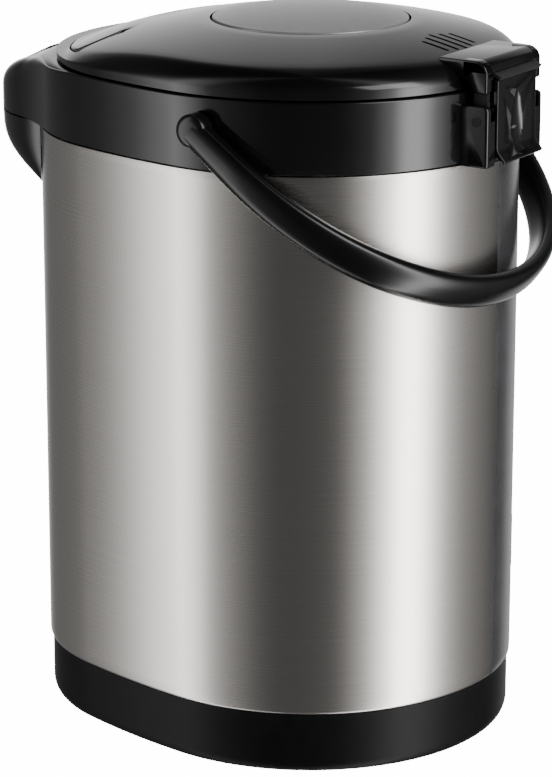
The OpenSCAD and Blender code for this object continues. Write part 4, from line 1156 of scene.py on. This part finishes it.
@dataclass
class Hinge:
    """Bracket behind the shoulder, the release lever in it and the screws that show."""

    half: float = 25.6
    back: float = 107.6
    low: float = 281.0
    top: float = 309.0
    hinge: tuple[float, float] = (101.4, 306.0)
    lever_half: float = 18.0

    def bracket(self) -> bpy.types.Object:
        """Block with a slot for the lever and the lid's eyes, whose edges are rounded."""
        y, z = self.hinge
        slot = self.lever_half + 0.3
        side = rectangle([86, self.low], [self.back, self.top], [0, 1.6, 2.2, 0], 6)
        piece = extrusion(side, -self.half, self.half, "x").mesh("hinge_bracket_block")
        round_edges(piece, 1.3, 4)
        cut(piece, extrusion(PLAN.ring(0.15), 270, 320), block((-slot, y - 2.6, self.low + 3), (slot, 130, 330)),
            block((-slot, self.back - 4.6, 270), (slot, 130, 330)), block((-22.4, y - 4, z - 4), (22.4, 130, 330)))
        return soften(piece, 40)

    def lever(self) -> bpy.types.Object:
        """Release lever: flat back with a lip at its foot and a finger scoop that narrows upwards.

        The scoop is a ball drawn out to a drop: its half width is 7 - 4 z at the height z of the ball.

        Returns:
            The lever.
        """
        b, f = self.back + 0.9, self.low
        side = [[b - 4, f + 5], [b - 4, f + 17.5], [b - 2.8, f + 20], [b - 2.8, 320.5], [b, 320.5], [b, f + 7.5],
                [b + 4.3, f + 2.4], [b + 3.2, f + 1.5], [b - 1.6, f + 4.6]]
        outline = rounded(side, [0.8, 0.5, 0.5, 0.8, 1.2, 3.0, 0.8, 0.5, 2.0], 6)
        piece = extrusion(outline, -self.lever_half, self.lever_half, "x").mesh("release_lever_plate")
        round_edges(piece, 0.7, 3)
        ball = turned(np.stack([np.sin(np.linspace(0, math.pi, 25)), -np.cos(np.linspace(0, math.pi, 25))], -1), 48)
        x, y, z = ball.points.T
        drop = Shell(np.stack([x * (7.0 - 4.0 * z), y * 5.0, z * 17.0], -1), ball.faces)
        return soften(cut(piece, drop.placed(Matrix.Translation((0, b + 3.2, f + 20)))), 40)

    def side_screw(self) -> bpy.types.Object:
        """Small domed screw head with a crossed recess on the bracket's right side."""
        profile = np.array([[0, 0.5], [1.2, 0.47], [2.0, 0.32], [2.2, 0.1], [2.2, 0.0], [0, 0.0]])
        spot = facing_x(self.half, self.back - 5.6, self.hinge[1] - 4)
        piece = turned(profile, 32).placed(spot).mesh("bracket_side_screw")
        tools = [block((-x, -y, 0.25), (x, y, 1)).placed(spot) for x, y in ((1.3, 0.25), (0.25, 1.3))]
        return soften(cut(piece, *tools), 30)

    def build(self) -> None:
        """Builds and fits the hinge's pieces."""
        fit(self.bracket(), Look.GLOSS, "housing", "hinge_bracket")
        fit(self.lever(), Look.GLOSS, "release", "release_lever")
        fit(self.side_screw(), Look.RECESS, "housing")


@dataclass
class Handle:
    """Carrying handle: a band that runs from pivot to pivot round the back."""

    pivot: tuple[float, float] = (4.0, 301.0)
    tilt: float = 37.0
    inner: float = 99.5
    thick: float = 8.8
    reach: float = 129.0
    arm_h: float = 13.0
    back_h: float = 17.5

    @property
    def matrix(self) -> Matrix:
        """From the handle's own frame, with its arms along +Y, to the pot's."""
        return Matrix.Translation((0, *self.pivot)) @ Matrix.Rotation(math.radians(-self.tilt), 4, "X")

    def band(self) -> bpy.types.Object:
        """Band with an oval section carried along two arms and a half circle.

        At each place the section is a superellipse |u/a|^3 + |v/b|^3 = 1, where a is half the
        thickness and b grows from the pivots to the back, and its outer half is drawn in a little.

        Returns:
            The handle.
        """
        mid = self.inner + self.thick / 2
        arm = self.reach - mid
        s = np.linspace(0, 1, 113)
        straight = arm / (arm + math.pi * mid / 2)
        path = np.abs(s * 2 - 1)
        turn = np.clip((1 - path - straight) / (1 - straight), 0, 1) * 90
        a = np.radians(np.where(s < 0.5, turn, 180 - turn))
        along = np.clip((1 - path) / straight, 0, 1) * arm
        cx, cy = mid * np.cos(a), along + mid * np.sin(a)
        half = (self.arm_h + (self.back_h - self.arm_h) * np.sin(np.minimum(1, (1 - path) * 1.6) * math.pi / 2)) / 2
        t = np.linspace(0, 2 * math.pi, 40, endpoint=False)
        u = np.sign(np.cos(t)) * np.abs(np.cos(t)) ** (2 / 3) * self.thick / 2
        v = np.sign(np.sin(t)) * np.abs(np.sin(t)) ** (2 / 3.2) * (1 - 0.16 * np.clip(np.cos(t), 0, 1) ** 2)
        a, cx, cy, half = (w[:, None] for w in (a, cx, cy, half))
        grid = np.stack([cx + u * np.cos(a), cy + u * np.sin(a), half * v], -1)
        shell = Shell.of_grid(grid, close_cols=True, cap_rows=True)
        q = np.radians(np.linspace(0, 90, 9))
        r, h = 7.7, self.thick
        eye = np.vstack([[0, 0], [r - 0.8, 0], np.stack([r - 0.8 + 0.8 * np.sin(q), 0.8 - 0.8 * np.cos(q)], -1),
                         np.stack([r - 3.4 + 3.4 * np.cos(q), h - 3 + 2.6 * np.sin(q)], -1), [0, h]])
        disc = turned(eye, 56).placed(facing_x(self.inner, 0, 0))
        both = shell + disc + disc.mirrored()
        return soften(both.placed(self.matrix).mesh("carrying_handle"), 45)

    def screw(self) -> bpy.types.Object:
        """Pivot shafts with a washer inside the shoulder; their outer ends stay in the handle's eyes."""
        end = self.inner + self.thick - 3
        profile = [[0, 87.5], [7, 87.5], [7, 92.5], [4, 92.5], [4, end], [0, end]]
        one = turned(profile, 48).placed(facing_x(0, *self.pivot))
        return soften((one + one.mirrored()).mesh("pivot_shafts"), 35)

    def build(self) -> None:
        """Builds and fits the handle and its screws."""
        fit(self.band(), Look.HANDLE, "handle", "handle")
        fit(self.screw(), Look.SATIN, "housing", "pivot_screws")


@dataclass
class Inlet:
    """Mains socket in the back strip with a rounded flange, and its two pins."""

    frame: Matrix = field(default_factory=inlet_frame)
    flange: tuple[float, float] = (20.0, 16.0)
    step: float = 3.0
    wall: float = 4.0

    def socket(self) -> bpy.types.Object:
        """Flange, body and well with rounded corners, each smaller than the one before.

        Returns:
            The socket.
        """
        y, z = self.flange
        solids = []
        steps = ((0, 4, 0.05, 2.05), (self.step, 2, -14, 0.5), (self.step + self.wall, 3, -11, 9))
        for less, radius, low, high in steps:
            corner = [y - less, z - less]
            outline = rectangle([-v for v in corner], corner, radius, 6)
            solids.append(extrusion(outline, low, high, "x").placed(self.frame))
        piece = round_edges(solids[0].mesh("mains_socket"), 0.7, 3)
        return soften(cut(joined(piece, solids[1].mesh("socket_well")), solids[2]), 40)

    def pins(self) -> bpy.types.Object:
        """Two brass pins with round ends."""
        pin = turned([[0, 0], [2, 0], [2, 8.6], [1.7, 9.4], [1.0, 9.9], [0, 10]], 24)
        pair = [pin.placed(self.frame @ facing_x(-11, y, 0)) for y in (-7, 7)]
        return soften((pair[0] + pair[1]).mesh("socket_pins"), 40)

    def build(self) -> None:
        """Builds and fits the socket."""
        fit(self.socket(), Look.SATIN, "housing", "power_inlet")
        fit(self.pins(), Look.BRASS, "housing", "inlet_pins")


@dataclass
class Works:
    """Everything that keeps its CAD shape and gets its own finish."""

    looks: dict[Look, str] = field(default_factory=lambda: {
        Look.SATIN: "bottom_cover spout_nozzle",
        Look.RUBBER: "rubber_feet bellows",
        Look.ZINC: "cover_screws pump_motor tie_rods release_pin release_spring hinge_pin lid_screws "
                   "plate_spring latch_pin latch_spring",
        Look.CREAM: "chassis thermostat thermal_fuse pump_housing pump_impeller board_posts",
        Look.POT: "inner_pot inner_cover",
        Look.FELT: "insulation",
        Look.ALLOY: "heater_plate",
        Look.SILICONE: "drain_hose riser_tube outlet_elbow pot_seal lid_gasket air_valve",
        Look.CLEAR: "gauge_tube",
        Look.BOARD: "power_board panel_board",
        Look.LAMP: "lamp_lenses",
        Look.RECESS: "pot_collar bracket_screws lid_frame"})

    def dress(self, nodes: dict[str, bpy.types.Object]) -> None:
        """Gives each CAD node that stays its finish."""
        for look, names in self.looks.items():
            for name in names.split():
                piece = nodes[name]
                if not piece.material_slots:
                    piece.data.materials.append(None)
                for slot in piece.material_slots:
                    slot.material = look.value.material()
                LOG.info("%s keeps its shape, finish %s", name, look.value.name)


@dataclass
class Studio:
    """Camera at the photograph's angle, a pale floor, and soft light with dark flags round the pot."""

    eye: tuple[float, float, float] = (1.2913, 0.7973, 0.5988)
    heading: float = 122.36
    pitch: float = 16.03
    lens: float = 153.96
    shift: tuple[float, float] = (0.0049, -0.0139)
    floor_glow: float = 15.0
    brightest: float = 10.0
    backdrop: float = 12.0
    flags: tuple[tuple[float, float], ...] = (
        (-180, 0.6), (-168, 0.8), (-157, 0.8), (-149, 1.5), (-138, 1.5), (-128, 0.4), (-118, 0.17),
        (-99, 0.18), (-73, 0.22), (-66, 0.3), (-58, 0.9), (-47, 3.9), (-38, 2.8), (-25, 0.6), (-12, 0.3),
        (3, 0.13), (14, 0.09), (35, 0.1), (46, 0.12), (53, 0.22), (65, 0.65), (77, 3.0), (85, 9.0), (93, 9.0),
        (103, 3.0), (112, 1.0), (125, 0.42), (140, 0.25), (152, 0.18), (162, 0.04), (172, 0.14), (180, 0.6))
    heights: tuple[tuple[float, float], ...] = ((0.0, 1.0), (0.2, 0.8), (0.6, 0.5), (0.85, 0.15), (1.0, 0.05))

    def camera(self) -> None:
        """Makes the camera: it looks along its heading, tipped down by its pitch."""
        data = bpy.data.cameras.new("camera")
        data.lens, data.sensor_width, data.sensor_fit = self.lens, 36.0, "AUTO"
        data.shift_x, data.shift_y = self.shift
        data.clip_start, data.clip_end = 0.05, 50
        view = bpy.data.objects.new("camera", data)
        h, p = math.radians(self.heading), math.radians(self.pitch)
        ahead = Vector((-math.sin(h) * math.cos(p), math.cos(h) * math.cos(p), -math.sin(p)))
        view.matrix_world = Matrix.Translation(self.eye) @ ahead.to_track_quat("-Z", "Y").to_matrix().to_4x4()
        bpy.context.scene.collection.objects.link(view)
        bpy.context.scene.camera = view

    def floor(self) -> None:
        """One flat pale sheet under the pot, which the pot's own reflections look through to the studio.

        The camera sees a pale floor with a soft shadow; a mirrored ray meets the surroundings instead.
        """
        s = np.linspace(-6, 6, 13)
        grid = np.stack(np.meshgrid(s, s, indexing="ij") + [np.zeros((13, 13))], -1) / MM
        piece = Shell.of_grid(grid).mesh("floor")
        made = bpy.data.materials.new("pale_floor")
        made.use_nodes = True
        nodes = Nodes(made.node_tree)
        shader = made.node_tree.nodes["Principled BSDF"]
        shader.inputs["Base Color"].default_value = (0.9, 0.9, 0.9, 1)
        shader.inputs["Roughness"].default_value = 0.8
        shader.inputs["Specular IOR Level"].default_value = 0.05
        shader.inputs["Emission Color"].default_value = (1, 1, 1, 1)
        rays = nodes.add("LightPath")
        clear = nodes.add("BsdfTransparent")
        mix = nodes.add("MixShader")
        out = next(n for n in made.node_tree.nodes if n.bl_idname == "ShaderNodeOutputMaterial")
        link = made.node_tree.links.new
        glow = nodes.math("MULTIPLY", rays.outputs["Is Camera Ray"], self.floor_glow)
        link(glow, shader.inputs["Emission Strength"])
        link(rays.outputs["Is Glossy Ray"], mix.inputs[0])
        link(shader.outputs[0], mix.inputs[1])
        link(clear.outputs[0], mix.inputs[2])
        link(mix.outputs[0], out.inputs["Surface"])
        piece.data.materials.append(made)

    def world(self) -> None:
        """White surroundings with dark flags: brightness by compass direction, darker overhead.

        Each of the flags is a compass direction in degrees from +X and the brightness that lies there,
        and each of the heights is a share of the way up and what is left of the brightness.
        """
        world = bpy.data.worlds.new("studio")
        bpy.context.scene.world = world
        world.use_nodes = True
        nodes = Nodes(world.node_tree)
        back = world.node_tree.nodes["Background"]
        axes = nodes.add("SeparateXYZ", {0: nodes.add("TexCoord").outputs["Generated"]})
        turn = nodes.math("ARCTAN2", axes.outputs[1], axes.outputs[0])
        share = nodes.math("ADD", nodes.math("DIVIDE", turn, 2 * math.pi), 0.5)
        stops = [((turned_by + 180) / 360, level / self.brightest) for turned_by, level in self.flags]
        level = nodes.math("MULTIPLY", nodes.ramp(share, stops), self.brightest)
        lit = nodes.math("MULTIPLY", level, nodes.ramp(axes.outputs[2], self.heights))
        seen = nodes.add("LightPath").outputs["Is Camera Ray"]
        final = nodes.math("ADD", nodes.math("MULTIPLY", lit, nodes.math("SUBTRACT", 1.0, seen)),
                           nodes.math("MULTIPLY", seen, self.backdrop))
        world.node_tree.links.new(final, back.inputs["Strength"])
        back.inputs["Color"].default_value = (1, 1, 1, 1)

    def lamp(self, name: str, spot: Sequence[float], target: Sequence[float], size: float, power: float) -> None:
        """Adds a square soft light that faces a target."""
        data = bpy.data.lights.new(name, "AREA")
        data.energy, data.size = power, size
        light = bpy.data.objects.new(name, data)
        ahead = Vector(target) - Vector(spot)
        light.matrix_world = Matrix.Translation(spot) @ ahead.to_track_quat("-Z", "Y").to_matrix().to_4x4()
        bpy.context.scene.collection.objects.link(light)

    def build(self) -> None:
        """Builds the whole studio."""
        self.camera()
        self.floor()
        self.world()
        self.lamp("key_light", (0.3, 1.6, 1.3), (0, 0, 0.2), 1.0, 12)


def main() -> None:
    """Builds the studio and every sub-assembly."""
    logging.basicConfig(level=logging.INFO, format="%(name)s %(message)s")
    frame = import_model()
    Studio().build()
    for assembly in (Jacket(), Base(), Shoulder(), Lid(), Hinge(), Handle(), Inlet()):
        LOG.info("building %s", type(assembly).__name__)
        assembly.build()
    Works().dress(frame["nodes"])


if __name__ == "__main__":
    main()
